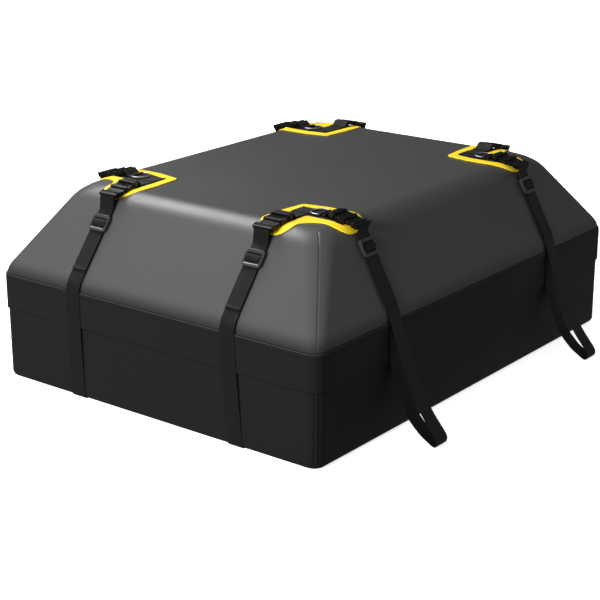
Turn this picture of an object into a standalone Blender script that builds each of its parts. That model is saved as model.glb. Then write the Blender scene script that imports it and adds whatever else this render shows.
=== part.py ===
"""Foldable rooftop cargo bag with a zipped lid, four corner patches, eight side-release
buckles, eight sliding adjusters and eight webbing straps. Metres, +Z up, floor at z = 0."""

import math

import bmesh
import bpy
from mathutils import Vector

# Overall size of the packed bag
WIDTH_X = 0.864
LENGTH_Y = 1.136
HEIGHT = 0.428
HALF_X = WIDTH_X / 2
HALF_Y = LENGTH_Y / 2

# Profile of the bag's outside
KNEE_Z = 0.2494
SLOPE_INSET_X = 0.0969
SLOPE_INSET_Y = 0.1396
BASE_ROUND = 0.0114
KNEE_ROUND = 0.053
TOP_ROUND = 0.0695
WALL_CORNER_ROUND = 0.0276
TOP_CORNER_ROUND = 0.055
SKIN = 0.0026
FLOOR = 0.006
TUB_RIM_Z = 0.197
LID_RIM_Z = 0.213
RING_STEPS = 4

# Storm flap that covers the zip
FLAP_LOW_Z = 0.160
FLAP_TOP_Z = 0.2388
FLAP_GAP = 0.0024
FLAP_SKIN = 0.001
FLAP_LIP = 0.0021
FLAP_BEND_Z = 0.2311

# Zip, hinge strip, sliders and pulls
ZIP_Z = 0.205
TAPE_SKIN = 0.001
TAPE_REACH = 0.0172
COIL_PROUD = 0.0015
COIL_HALF = 0.0026
SLIDER_LONG = 0.014
SLIDER_TALL = 0.011
SLIDER_APART = 0.018
PULL_LONG = 0.026
PULL_WIDE = 0.0075
PULL_SKIN = 0.0009
PIVOT_R = 0.0012

# Corner patches, placed in plan from the bag's sides and ends
TIP_FROM_SIDE = 0.2585
TIP_FROM_END = 0.2945
NOTCH_FROM_SIDE = 0.1970
NOTCH_FROM_END = 0.2230
ARM_FROM_SIDE = 0.0890
ARM_FROM_END = 0.1265
INNER_FROM_SIDE = 0.2655
INNER_FROM_END = 0.3060
OUTER_FROM_SIDE = 0.1760
OUTER_FROM_END = 0.2040
PATCH_CONCAVE = 0.045
PATCH_END_ROUND = 0.026
BORDER_WIDE = 0.021
PANEL_SKIN = 0.0015
BORDER_SKIN = 0.0018

# Webbing
WEB_WIDE = 0.038
WEB_SKIN = 0.0013
STRAP_LIFT = 0.0037
STRAP_FROM_SIDE = 0.2215
STRAP_FROM_END = 0.2545
END_STRAP_X = HALF_X - STRAP_FROM_SIDE
SIDE_STRAP_Y = HALF_Y - STRAP_FROM_END
UNDER_RUN = 0.180
GROOVE_DEEP = 0.0020
GROOVE_SPARE = 0.0012

# Side-release buckles
BUCKLE_TILT = math.radians(14.0)
BUCKLE_RISE = 0.0024
SOCKET_IN = -0.032
SOCKET_MOUTH = 0.012
SOCKET_WIDE = 0.052
SOCKET_TALL = 0.0095
SOCKET_WALL = 0.0035
SOCKET_SKIN = 0.0018
PLUG_SHOULDER = 0.0123
PLUG_END = 0.042
PLUG_WIDE = 0.047
PLUG_TALL = 0.0053
BAR_LONG = 0.0065
PLUG_BAR = (0.0027, 0.0066)
SOCKET_BAR = (0.0026, 0.0070)
SOCKET_BAR_LONG = 0.0045
WRAP_GAP = 0.0003

# Adjusters
ADJUSTER_WIDE = 0.046
ADJUSTER_LONG = 0.036
ADJUSTER_BAR = 0.0055
ADJUSTER_LOW = 0.0008
ADJUSTER_HIGH = 0.0090
ADJUSTER_MID = 0.0066
END_ADJUSTER_S = 0.0796
SIDE_ADJUSTER_S = 0.0560
STEP_S = 0.1889

# D-rings
RING_WIRE_R = 0.0018
WIRE_SIDES = 5
RING_BAR_OUT = 0.0480
RING_BAR_X = END_STRAP_X + RING_BAR_OUT
RING_REACH = 0.030
RING_HALF_WIDE = 0.021
KEEPER_WIDE = 0.034
WEB_JOIN = 0.0425

# Clearances
SEAT = 0.0003

# Sideways drift of each strap's lower end, as it hangs in the picture
DRIFT = {
    "front_right": 0.0180, "front_left": 0.0020, "rear_right": -0.0040, "rear_left": 0.0060,
    "right_front": 0.0, "right_rear": 0.0, "left_front": 0.0, "left_rear": 0.0,
}

COLOURS = {
    "lid_cloth": ((0.115, 0.115, 0.118), 0.42, 0.0),
    "base_cloth": ((0.022, 0.022, 0.022), 0.50, 0.0),
    "webbing": ((0.016, 0.016, 0.017), 0.85, 0.0),
    "yellow_trim": ((0.90, 0.62, 0.03), 0.50, 0.0),
    "panel_cloth": ((0.020, 0.020, 0.022), 0.70, 0.0),
    "buckle_plastic": ((0.010, 0.010, 0.011), 0.25, 0.0),
    "adjuster_plastic": ((0.055, 0.055, 0.057), 0.38, 0.0),
    "ring_steel": ((0.75, 0.75, 0.76), 0.20, 1.0),
    "zip_cloth": ((0.012, 0.012, 0.013), 0.80, 0.0),
    "zip_metal": ((0.30, 0.30, 0.31), 0.35, 1.0),
}

CROWN_TURNS = [math.radians(a) for a in (14.0, 28.0, 42.0)]


def clear_scene():
    """Remove every object of the start scene."""
    for item in list(bpy.data.objects):
        bpy.data.objects.remove(item, do_unlink=True)


def material(name):
    """Principled material of one finish, made once."""
    found = bpy.data.materials.get(name)
    if found:
        return found
    colour, roughness, metallic = COLOURS[name]
    made = bpy.data.materials.new(name)
    made.use_nodes = True
    shader = made.node_tree.nodes["Principled BSDF"]
    shader.inputs["Base Color"].default_value = (*colour, 1.0)
    shader.inputs["Roughness"].default_value = roughness
    shader.inputs["Metallic"].default_value = metallic
    return made


def add_object(name, points, faces, finish, origin=(0.0, 0.0, 0.0), smooth=32.0):
    """Closed mesh object with its faces turned outward and its origin at a given place."""
    base = Vector(origin)
    mesh = bpy.data.meshes.new(name)
    mesh.from_pydata([tuple(Vector(p) - base) for p in points], [], faces)
    work = bmesh.new()
    work.from_mesh(mesh)
    bmesh.ops.remove_doubles(work, verts=work.verts, dist=0.000001)
    bmesh.ops.recalc_face_normals(work, faces=work.faces)
    work.to_mesh(mesh)
    work.free()
    mesh.materials.append(material(finish))
    item = bpy.data.objects.new(name, mesh)
    item.location = base
    bpy.context.scene.collection.objects.link(item)
    if smooth:
        mesh.shade_smooth()
        mesh.set_sharp_from_angle(angle=math.radians(smooth))
    return item


def cut(item, cutter, operation="DIFFERENCE"):
    """Apply an exact Boolean and drop the cutter."""
    step = item.modifiers.new("cut", "BOOLEAN")
    step.operation = operation
    step.solver = "EXACT"
    step.object = cutter
    cutter.hide_render = True
    cutter.display_type = "WIRE"
    bpy.context.view_layer.update()
    graph = bpy.context.evaluated_depsgraph_get()
    done = bpy.data.meshes.new_from_object(item.evaluated_get(graph))
    item.modifiers.clear()
    item.data = done
    bpy.data.objects.remove(cutter, do_unlink=True)


def mesh_of(item):
    """Points and faces of an object, in the part's frame; the object is removed."""
    points = [tuple(item.matrix_world @ v.co) for v in item.data.vertices]
    faces = [tuple(p.vertices) for p in item.data.polygons]
    bpy.data.objects.remove(item, do_unlink=True)
    return points, faces


def fillet(points, radii, steps):
    """Polyline with its inner corners rounded."""
    out = [Vector(points[0])]
    for i in range(1, len(points) - 1):
        here, back, ahead = Vector(points[i]), Vector(points[i - 1]), Vector(points[i + 1])
        radius = radii[i - 1]
        to_back = (back - here).normalized()
        to_ahead = (ahead - here).normalized()
        half = math.acos(max(-1.0, min(1.0, to_back.dot(to_ahead)))) / 2
        centre = here + (to_back + to_ahead).normalized() * radius / math.sin(half)
        start = here + to_back * radius / math.tan(half) - centre
        end = here + to_ahead * radius / math.tan(half) - centre
        first = math.atan2(start.y, start.x)
        turn = (math.atan2(end.y, end.x) - first + math.pi) % (2 * math.pi) - math.pi
        for k in range(steps + 1):
            angle = first + turn * k / steps
            out.append(centre + Vector((math.cos(angle), math.sin(angle))) * radius)
    out.append(Vector(points[-1]))
    return out


def offset_corner(before, here, after, distance):
    """Corner of a polyline moved to its right by a distance, with mitred sides."""
    a = (here - before).normalized()
    b = (after - here).normalized()
    na, nb = Vector((a.y, -a.x)), Vector((b.y, -b.x))
    return here + (na + nb) * distance / (1.0 + na.dot(nb))


def face_profile(half, inset, offset=0.0, steps=6):
    """Side profile (outward, z) from the floor to the top, moved outward by an offset."""
    raw = [Vector((half - 0.2, 0.0)), Vector((half, 0.0)), Vector((half, KNEE_Z)),
           Vector((half - inset, HEIGHT)), Vector((half - inset - 0.2, HEIGHT))]
    moved = [raw[0] + Vector((0.0, -offset))]
    for i in range(1, 4):
        moved.append(offset_corner(raw[i - 1], raw[i], raw[i + 1], offset))
    moved.append(raw[4] + Vector((0.0, offset)))
    radii = [max(r + offset, 0.001) for r in (BASE_ROUND, KNEE_ROUND, TOP_ROUND)]
    return fillet(moved, radii, steps)


def slope_point(half, inset, along, lift):
    """Place (outward, z) on the slope, a way down from its top corner and lifted off it."""
    run = math.hypot(inset, HEIGHT - KNEE_Z)
    down = Vector((inset, KNEE_Z - HEIGHT)) / run
    out = Vector((HEIGHT - KNEE_Z, inset)) / run
    return Vector((half - inset, HEIGHT)) + down * along + out * lift


def outward_at(profile, z):
    """Outward reach of a profile at a height."""
    for a, b in zip(profile, profile[1:]):
        if a.y <= z <= b.y and b.y > a.y:
            return a.x + (b.x - a.x) * (z - a.y) / (b.y - a.y)
    return profile[-2].x


def ring(half_x, half_y, radius, z):
    """Rounded rectangle of points at a height."""
    out = []
    for sx, sy, first in ((1, 1, 0), (-1, 1, 90), (-1, -1, 180), (1, -1, 270)):
        for k in range(RING_STEPS + 1):
            angle = math.radians(first + 90.0 * k / RING_STEPS)
            x = sx * (half_x - radius) + radius * math.cos(angle)
            y = sy * (half_y - radius) + radius * math.sin(angle)
            out.append((x, y, z))
    return out


def loft(rings, close_start=True, close_end=True):
    """Faces between equal rings, with flat ends."""
    count = len(rings[0])
    points = [p for one in rings for p in one]
    faces = []
    for i in range(len(rings) - 1):
        for j in range(count):
            a = i * count + j
            b = i * count + (j + 1) % count
            faces.append((a, b, b + count, a + count))
    if close_start:
        faces.append(tuple(reversed(range(count))))
    if close_end:
        last = (len(rings) - 1) * count
        faces.append(tuple(range(last, last + count)))
    return points, faces


def body_rings(levels, offset=0.0):
    """Rings of the bag's outside at given heights, moved outward by an offset."""
    px = face_profile(HALF_X, SLOPE_INSET_X, offset, 24)
    py = face_profile(HALF_Y, SLOPE_INSET_Y, offset, 24)
    out = []
    for z in levels:
        share = max(0.0, min(1.0, (z - KNEE_Z) / (HEIGHT - KNEE_Z)))
        radius = WALL_CORNER_ROUND + (TOP_CORNER_ROUND - WALL_CORNER_ROUND) * share + offset
        hx, hy = outward_at(px, z), outward_at(py, z)
        radius = min(radius, radius - (HALF_X + offset - hx)) if z < BASE_ROUND else radius
        out.append(ring(hx, hy, max(radius, 0.004), z))
    return out


def base_tub():
    """Lower body: walls and floor, with four shallow channels for the straps below."""
    low = [BASE_ROUND * (1 - math.cos(math.radians(a))) for a in (0.5, 30, 60)]
    outer = body_rings(low + [BASE_ROUND, TUB_RIM_Z])
    flat = ring(HALF_X - BASE_ROUND, HALF_Y - BASE_ROUND, WALL_CORNER_ROUND - BASE_ROUND, 0.0)
    inner = body_rings([TUB_RIM_Z, FLOOR + 0.009], -SKIN)
    near, far = SKIN + 0.003, SKIN + 0.009
    soft = ring(HALF_X - near, HALF_Y - near, WALL_CORNER_ROUND - near, FLOOR + 0.0026)
    inside = ring(HALF_X - far, HALF_Y - far, 0.015, FLOOR)
    points, faces = loft([flat] + outer[1:] + inner + [soft, inside])
    tub = add_object("base_tub", points, faces, "base_cloth")
    for sx in (-1, 1):
        for sy in (-1, 1):
            drift = DRIFT[strap_name(True, sx, sy)]
            wide = (WEB_WIDE + GROOVE_SPARE) / 2
            x0, x1 = sx * END_STRAP_X + drift - wide, sx * END_STRAP_X + drift + wide
            y0, y1 = sy * (HALF_Y - UNDER_RUN - 0.002), sy * (HALF_Y + 0.01)
            cutter = box("channel", (x0, min(y0, y1), -0.01), (x1, max(y0, y1), GROOVE_DEEP))
            cut(tub, cutter)
    tub.data.shade_smooth()
    tub.data.set_sharp_from_angle(angle=math.radians(32))
    return tub


def box(name, low, high, finish="webbing"):
    """Plain box, used as a cutter or as a start shape."""
    points = [(x, y, z) for x in (low[0], high[0]) for y in (low[1], high[1]) for z in (low[2], high[2])]
    faces = [(0, 1, 3, 2), (4, 6, 7, 5), (0, 4, 5, 1), (2, 3, 7, 6), (0, 2, 6, 4), (1, 5, 7, 3)]
    return add_object(name, points, faces, finish, smooth=0)


def lid():
    """Tapered upper shell with a short skirt down to the zip."""
    turn_x = math.atan2(HEIGHT - KNEE_Z, SLOPE_INSET_X)
    turn_y = math.atan2(HEIGHT - KNEE_Z, SLOPE_INSET_Y)
    bend = math.pi / 2 - turn_y
    start = KNEE_Z - KNEE_ROUND * math.tan(bend / 2)
    knee = [start + KNEE_ROUND * math.sin(bend * k / 5) for k in range(6)]
    crown = [HEIGHT - TOP_ROUND * (1 - math.cos(a)) for a in [turn_x, turn_y] + CROWN_TURNS[::-1]]
    levels = [LID_RIM_Z] + knee + crown
    outer = body_rings(levels)
    px = face_profile(HALF_X, SLOPE_INSET_X, 0.0, 24)
    py = face_profile(HALF_Y, SLOPE_INSET_Y, 0.0, 24)
    outer.append(ring(px[-2].x, py[-2].x, TOP_CORNER_ROUND * 0.9, HEIGHT))
    top = HEIGHT - SKIN
    turns = (turn_y * 0.35, turn_y * 0.7, turn_x)
    inner_crown = [top - (TOP_ROUND - SKIN) * (1 - math.cos(a)) for a in turns]
    ix = face_profile(HALF_X, SLOPE_INSET_X, -SKIN, 24)
    iy = face_profile(HALF_Y, SLOPE_INSET_Y, -SKIN, 24)
    roof = ring(ix[-2].x, iy[-2].x, TOP_CORNER_ROUND * 0.9 - SKIN, top)
    inner = [roof] + body_rings(inner_crown + [KNEE_Z + 0.016, KNEE_Z, KNEE_Z - 0.016, LID_RIM_Z], -SKIN)
    points, faces = loft(outer + inner, False, False)
    count = len(outer[0])
    total = len(outer) + len(inner)
    last = (total - 1) * count
    faces = [f for f in faces if not _spans(f, count, len(outer) - 1)]
    crown_ring = (len(outer) - 1) * count
    roof_ring = len(outer) * count
    faces.append(tuple(range(crown_ring, crown_ring + count)))
    faces.append(tuple(reversed(range(roof_ring, roof_ring + count))))
    for j in range(count):
        k = (j + 1) % count
        faces.append((last + j, last + k, k, j))
    return add_object("lid", points, faces, "lid_cloth", smooth=40)


def _spans(face, count, row):
    """Whether a face joins one row of points to the next."""
    rows = {index // count for index in face}
    return rows == {row, row + 1}


def band(name, section, finish, stations=None, smooth=40.0):
    """Belt round the wall with a section of (outward, z) points, closed or along stations."""
    if stations is None:
        stations = wall_stations(("rear_right", "rear_left", "front_left", "front_right"))
        closed = True
    else:
        closed = False
    count = len(section)
    points = []
    for cx, cy, dx, dy in stations:
        for out, z in section:
            reach = WALL_CORNER_ROUND + out
            points.append((cx + dx * reach, cy + dy * reach, z))
    faces = []
    total = len(stations)
    for i in range(total if closed else total - 1):
        k = (i + 1) % total
        for j in range(count):
            m = (j + 1) % count
            faces.append((i * count + j, i * count + m, k * count + m, k * count + j))
    if not closed:
        faces.append(tuple(range(count)))
        faces.append(tuple(reversed(range((total - 1) * count, total * count))))
    return add_object(name, points, faces, finish, smooth=smooth)


def wall_stations(corners):
    """Corner centres and outward directions along the wall's rounded corners."""
    turns = {"rear_right": (1, 1, 0), "rear_left": (-1, 1, 90),
             "front_left": (-1, -1, 180), "front_right": (1, -1, 270)}
    out = []
    for corner in corners:
        sx, sy, first = turns[corner]
        for k in range(RING_STEPS + 1):
            angle = math.radians(first + 90.0 * k / RING_STEPS)
            cx = sx * (HALF_X - WALL_CORNER_ROUND)
            cy = sy * (HALF_Y - WALL_CORNER_ROUND)
            out.append((cx, cy, math.cos(angle), math.sin(angle)))
    return out


def storm_flap():
    """Skirt welded along the lid's seam that hangs over the zip all round."""
    inner, outer = FLAP_GAP, FLAP_GAP + FLAP_SKIN
    section = [(inner, FLAP_LOW_Z), (outer, FLAP_LOW_Z), (outer, FLAP_BEND_Z),
               (outer - 0.0009, FLAP_TOP_Z - 0.0009), (outer - 0.0016, FLAP_TOP_Z),
               (SEAT, FLAP_TOP_Z), (SEAT, FLAP_TOP_Z - FLAP_LIP),
               (inner - 0.0009, FLAP_TOP_Z - FLAP_LIP), (inner, FLAP_BEND_Z - 0.002)]
    return band("storm_flap", section, "base_cloth")


def zip_stations():
    """The three zipped sides: left, front and right, with both front corners."""
    left = wall_stations(("front_left",))
    right = wall_stations(("front_right",))
    reach = HALF_Y - WALL_CORNER_ROUND
    start = (left[0][0], reach, -1.0, 0.0)
    end = (right[-1][0], reach, 1.0, 0.0)
    return [start] + left + right + [end]


def hinge_stations():
    """The rear side with both rear corners, where the lid hinges."""
    right = wall_stations(("rear_right",))
    left = wall_stations(("rear_left",))
    low = HALF_Y - WALL_CORNER_ROUND + SEAT
    first = (right[0][0], low, 1.0, 0.0)
    last = (left[-1][0], low, -1.0, 0.0)
    return [first] + right[1:] + left[:-1] + [last]


def zip_and_hinge():
    """Two tapes with their coil halves, and the cloth hinge behind."""
    face = -SKIN - SEAT
    back = face - TAPE_SKIN
    ridge = face + COIL_PROUD
    gap = SEAT / 2
    upper = [(back, ZIP_Z + gap), (ridge, ZIP_Z + gap), (ridge, ZIP_Z + COIL_HALF),
             (face, ZIP_Z + COIL_HALF + 0.0004), (face, ZIP_Z + TAPE_REACH), (back, ZIP_Z + TAPE_REACH)]
    lower = [(out, 2 * ZIP_Z - z) for out, z in reversed(upper)]
    band("zipper_upper_tape", upper, "zip_cloth", stations=zip_stations())
    band("zipper_lower_tape", lower, "zip_cloth", stations=zip_stations())
    low, high = ZIP_Z - TAPE_REACH, ZIP_Z + TAPE_REACH
    strip = [(back, low), (face, low), (face, high), (back, high)]
    band("hinge_strip", strip, "base_cloth", stations=hinge_stations())


def front_place(x, out, z):
    """Place on the front face, a way outward from its wall."""
    return (x, -HALF_Y - out, z)


def prism(outline, low, high, place):
    """Points and faces of an outline raised from one height to another through a placing."""
    count = len(outline)
    points = [place(a, b, low) for a, b in outline] + [place(a, b, high) for a, b in outline]
    faces = [tuple(reversed(range(count))), tuple(range(count, 2 * count))]
    for i in range(count):
        k = (i + 1) % count
        faces.append((i, k, k + count, i + count))
    return points, faces


def zip_sliders():
    """Two sliders that meet in the middle of the front, each with a swinging pull."""
    for side, sign in (("left", -1), ("right", 1)):
        middle = sign * SLIDER_APART / 2
        long, tall = SLIDER_LONG / 2, SLIDER_TALL / 2
        outline = [(-long, -tall * 0.62), (-long * 0.5, -tall), (long * 0.55, -tall), (long, -tall * 0.8),
                   (long, tall * 0.8), (long * 0.55, tall), (-long * 0.5, tall), (-long, tall * 0.62)]
        coil_top = -SKIN - SEAT + COIL_PROUD
        flat = lambda a, b, h: front_place(middle + sign * a, h, ZIP_Z + b)
        points, faces = prism(outline, -SKIN, 0.0009, flat)
        slider = add_object(f"zipper_slider_{side}", points, faces, "zip_metal",
                            front_place(middle, 0.0, ZIP_Z))
        clear = COIL_HALF + 0.0007
        channel = box("channel", front_place(middle - 0.02, coil_top + SEAT, ZIP_Z - clear),
                      (middle + 0.02, -HALF_Y + 0.01, ZIP_Z + clear))
        cut(slider, channel)
        circle = [(PIVOT_R * math.cos(math.radians(a)), PIVOT_R * math.sin(math.radians(a)))
                  for a in range(0, 360, 45)]
        points, faces = prism(circle, 0.0004, 0.0021, flat)
        cut(slider, add_object("post", points, faces, "zip_metal", smooth=0), "UNION")
        slider.data.shade_smooth()
        slider.data.set_sharp_from_angle(angle=math.radians(30))
        wide = PULL_WIDE / 2
        half_tab = [(wide * 0.5, -PULL_LONG), (wide * 0.86, -PULL_LONG + 0.002), (wide, -0.010),
                    (wide * 0.8, -0.0032), (wide * 0.7, 0.0022), (wide * 0.3, 0.0034)]
        tab = half_tab + [(-a, b) for a, b in reversed(half_tab)]
        points, faces = prism(tab, 0.0012, 0.0012 + PULL_SKIN, flat)
        pull = add_object(f"zipper_pull_{side}", points, faces, "zip_metal", front_place(middle, 0.0, ZIP_Z))
        eye = [(a * (PIVOT_R + SEAT) / PIVOT_R, b * (PIVOT_R + SEAT) / PIVOT_R) for a, b in circle]
        points, faces = prism(eye, 0.0, 0.004, flat)
        cut(pull, add_object("eye", points, faces, "zip_metal", smooth=0))
        slot = [(-wide * 0.5, -PULL_LONG + 0.0045), (wide * 0.5, -PULL_LONG + 0.0045),
                (wide * 0.5, -PULL_LONG + 0.012), (-wide * 0.5, -PULL_LONG + 0.012)]
        points, faces = prism(slot, 0.0, 0.004, flat)
        cut(pull, add_object("slot", points, faces, "zip_metal", smooth=0))


def patch_loop(margin):
    """Outline of a corner patch in plan, drawn inward by a margin."""
    raw = [(TIP_FROM_SIDE, TIP_FROM_END), (NOTCH_FROM_SIDE, INNER_FROM_END), (ARM_FROM_SIDE, INNER_FROM_END),
           (ARM_FROM_SIDE, OUTER_FROM_END), (OUTER_FROM_SIDE, OUTER_FROM_END), (OUTER_FROM_SIDE, ARM_FROM_END),
           (INNER_FROM_SIDE, ARM_FROM_END), (INNER_FROM_SIDE, NOTCH_FROM_END)]
    spots = [Vector((HALF_X - a, HALF_Y - b)) for a, b in raw]
    count = len(spots)
    moved = [offset_corner(spots[i - 1], spots[i], spots[(i + 1) % count], -margin) for i in range(count)]
    rounds = {2: (PATCH_END_ROUND, -1, 2), 3: (PATCH_END_ROUND, -1, 2), 4: (PATCH_CONCAVE, 1, 4),
              5: (PATCH_END_ROUND, -1, 2), 6: (PATCH_END_ROUND, -1, 2)}
    out = []
    for i in range(count):
        if i not in rounds:
            out.append(moved[i])
            continue
        radius, sign, steps = rounds[i]
        radius = max(radius + sign * margin, 0.004)
        out += fillet([moved[i - 1], moved[i], moved[(i + 1) % count]], [radius], steps)[1:-1]
    return out


def drape(x, y, lift):
    """Point above the lid's top at a plan place of the first quadrant, lifted off it."""
    drop = Vector((0.0, 0.0, HEIGHT))
    normal = Vector((0.0, 0.0, 1.0))
    for axis, half, inset in ((0, HALF_X, SLOPE_INSET_X), (1, HALF_Y, SLOPE_INSET_Y)):
        turn = math.atan2(HEIGHT - KNEE_Z, inset)
        start = half - inset - TOP_ROUND * math.tan(turn / 2)
        past = (x, y)[axis] - start
        if past > 0:
            angle = math.asin(min(past / TOP_ROUND, 1.0))
            drop.z -= TOP_ROUND * (1 - math.cos(angle))
            normal[axis] = math.tan(angle)
    normal.normalize()
    return Vector((x, y, drop.z)) + normal * lift


def bend_lines():
    """Plan places where a draped sheet needs an edge to follow the rounded top."""
    out = []
    for axis, half, inset in ((0, HALF_X, SLOPE_INSET_X), (1, HALF_Y, SLOPE_INSET_Y)):
        turn = math.atan2(HEIGHT - KNEE_Z, inset)
        start = half - inset - TOP_ROUND * math.tan(turn / 2)
        for angle in [0.0] + CROWN_TURNS:
            out.append((axis, start + TOP_ROUND * math.sin(angle)))
    return out


def draped(name, loops, low, high, finish, sx, sy):
    """Sheet of even thickness laid on the lid's top: one loop filled, or the belt between two."""
    work = bmesh.new()
    rows = [[work.verts.new((p.x, p.y, 0.0)) for p in loop] for loop in loops]
    if len(rows) == 1:
        work.faces.new(rows[0])
    else:
        count = len(rows[0])
        for i in range(count):
            k = (i + 1) % count
            work.faces.new((rows[0][i], rows[0][k], rows[1][k], rows[1][i]))
    for axis, place in bend_lines():
        normal = (1.0, 0.0, 0.0) if axis == 0 else (0.0, 1.0, 0.0)
        spot = tuple(n * place for n in normal)
        everything = list(work.verts) + list(work.edges) + list(work.faces)
        bmesh.ops.bisect_plane(work, geom=everything, dist=0.0000001, plane_co=spot, plane_no=normal)
    work.verts.index_update()
    plan = [(v.co.x, v.co.y) for v in work.verts]
    flat = [tuple(v.index for v in f.verts) for f in work.faces]
    rim = [(e.verts[0].index, e.verts[1].index) for e in work.edges if len(e.link_faces) == 1]
    work.free()
    count = len(plan)
    points = [drape(x, y, low) for x, y in plan] + [drape(x, y, high) for x, y in plan]
    faces = [tuple(reversed(f)) for f in flat] + [tuple(i + count for i in f) for f in flat]
    faces += [(a, b, b + count, a + count) for a, b in rim]
    points = [(sx * p.x, sy * p.y, p.z) for p in points]
    item = add_object(name, points, faces, finish, smooth=40)
    return item


def corner_patches():
    """Black panel and yellow border of each corner."""
    for corner, sx, sy in CORNERS:
        outer = patch_loop(0.0)
        inner = patch_loop(BORDER_WIDE)
        panel = patch_loop(BORDER_WIDE + SEAT)
        draped(f"corner_border_{corner}", [outer, inner], SEAT, SEAT + BORDER_SKIN, "yellow_trim", sx, sy)
        draped(f"corner_panel_{corner}", [panel], SEAT, SEAT + PANEL_SKIN, "panel_cloth", sx, sy)


CORNERS = (("front_right", 1, -1), ("front_left", -1, -1), ("rear_right", 1, 1), ("rear_left", -1, 1))


def strap_name(on_end, sx, sy):
    """Name of a strap by its face and its corner."""
    end = "rear" if sy > 0 else "front"
    side = "right" if sx > 0 else "left"
    return f"{end}_{side}" if on_end else f"{side}_{end}"


def place_of(on_end, sx, sy, across=0.0):
    """Function that puts (outward, across, z) of a face's first quadrant into the part's frame."""
    middle = END_STRAP_X if on_end else SIDE_STRAP_Y

    def put(out, w, z):
        if on_end:
            return (sx * (middle + w + across), sy * out, z)
        return (sx * out, sy * (middle + w + across), z)
    return put


def buckle_frame(on_end):
    """Origin and direction (outward, z) of a buckle laid over the rounded top."""
    half, inset = (HALF_Y, SLOPE_INSET_Y) if on_end else (HALF_X, SLOPE_INSET_X)
    turn = math.atan2(HEIGHT - KNEE_Z, inset)
    start = half - inset - TOP_ROUND * math.tan(turn / 2)
    spot = Vector((start, HEIGHT - TOP_ROUND))
    spot += Vector((math.sin(BUCKLE_TILT), math.cos(BUCKLE_TILT))) * TOP_ROUND
    normal = Vector((math.sin(BUCKLE_TILT), math.cos(BUCKLE_TILT)))
    along = Vector((math.cos(BUCKLE_TILT), -math.sin(BUCKLE_TILT)))
    return spot + normal * BUCKLE_RISE, along, normal


def on_buckle(on_end, long, high):
    """Place (outward, z) of a point given along and above a buckle."""
    origin, along, normal = buckle_frame(on_end)
    return origin + along * long + normal * high


def socket_mesh():
    """Socket of a side-release buckle in its own frame (along, across, up)."""
    w = SOCKET_WIDE / 2
    half = [(SOCKET_IN, 0.0), (SOCKET_IN, w - 0.005), (SOCKET_IN + 0.004, w - 0.002), (-0.0225, w - 0.002),
            (-0.0190, w), (-0.0165, w), (-0.0155, w - 0.0026), (-0.0055, w - 0.0026), (-0.0045, w),
            (SOCKET_MOUTH, w - 0.0012), (SOCKET_MOUTH, 0.0)]
    outline = mirror_outline(half)
    points, faces = prism(outline, 0.0, SOCKET_TALL, lambda a, b, h: (a, b, h))
    body = add_object("socket_body", points, faces, "buckle_plastic", smooth=0)
    soften_top(body, 0.0008)
    low, high = SOCKET_SKIN, SOCKET_TALL - SOCKET_SKIN
    mouth = w - SOCKET_WALL
    cut(body, box("cavity", (-0.0185, -mouth, low), (0.03, mouth, high)))
    cut(body, box("windows", (-0.0150, -0.04, low), (-0.0060, 0.04, high)))
    slot = WEB_WIDE / 2 + 0.0006
    cut(body, box("slot", (SOCKET_IN + SOCKET_BAR_LONG, -slot, -0.01), (SOCKET_IN + 0.0085, slot, 0.02)))
    cut(body, box("bar_top", (SOCKET_IN - 0.002, -slot, SOCKET_BAR[1]), (SOCKET_IN + 0.0055, slot, 0.02)))
    cut(body, box("bar_low", (SOCKET_IN - 0.002, -slot, -0.01), (SOCKET_IN + 0.0055, slot, SOCKET_BAR[0])))
    rim = SOCKET_MOUTH + 0.001
    arch = [(rim, -0.012), (0.0060, -0.0070), (0.0060, 0.0070), (rim, 0.012)]
    points, faces = prism(arch, SOCKET_TALL / 2, 0.02, lambda a, b, h: (a, b, h))
    cut(body, add_object("arch", points, faces, "buckle_plastic", smooth=0))
    return mesh_of(body)


def mirror_outline(half):
    """Whole outline from one side's points, which start and end on the middle line."""
    start, end = half[0], half[-1]
    side = [p for p in half if p[1] > 1e-9]
    mirrored = [(a, -b) for a, b in reversed(side)]
    return side + mirrored if start and end else side


def soften_top(item, width):
    """Bevel the edges round the top face of a plastic piece."""
    work = bmesh.new()
    work.from_mesh(item.data)
    high = max(v.co.z for v in work.verts) - 0.0001
    edges = [e for e in work.edges if all(v.co.z > high for v in e.verts)]
    bmesh.ops.bevel(work, geom=edges, offset=width, segments=1, affect="EDGES", profile=0.5)
    work.to_mesh(item.data)
    work.free()


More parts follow.
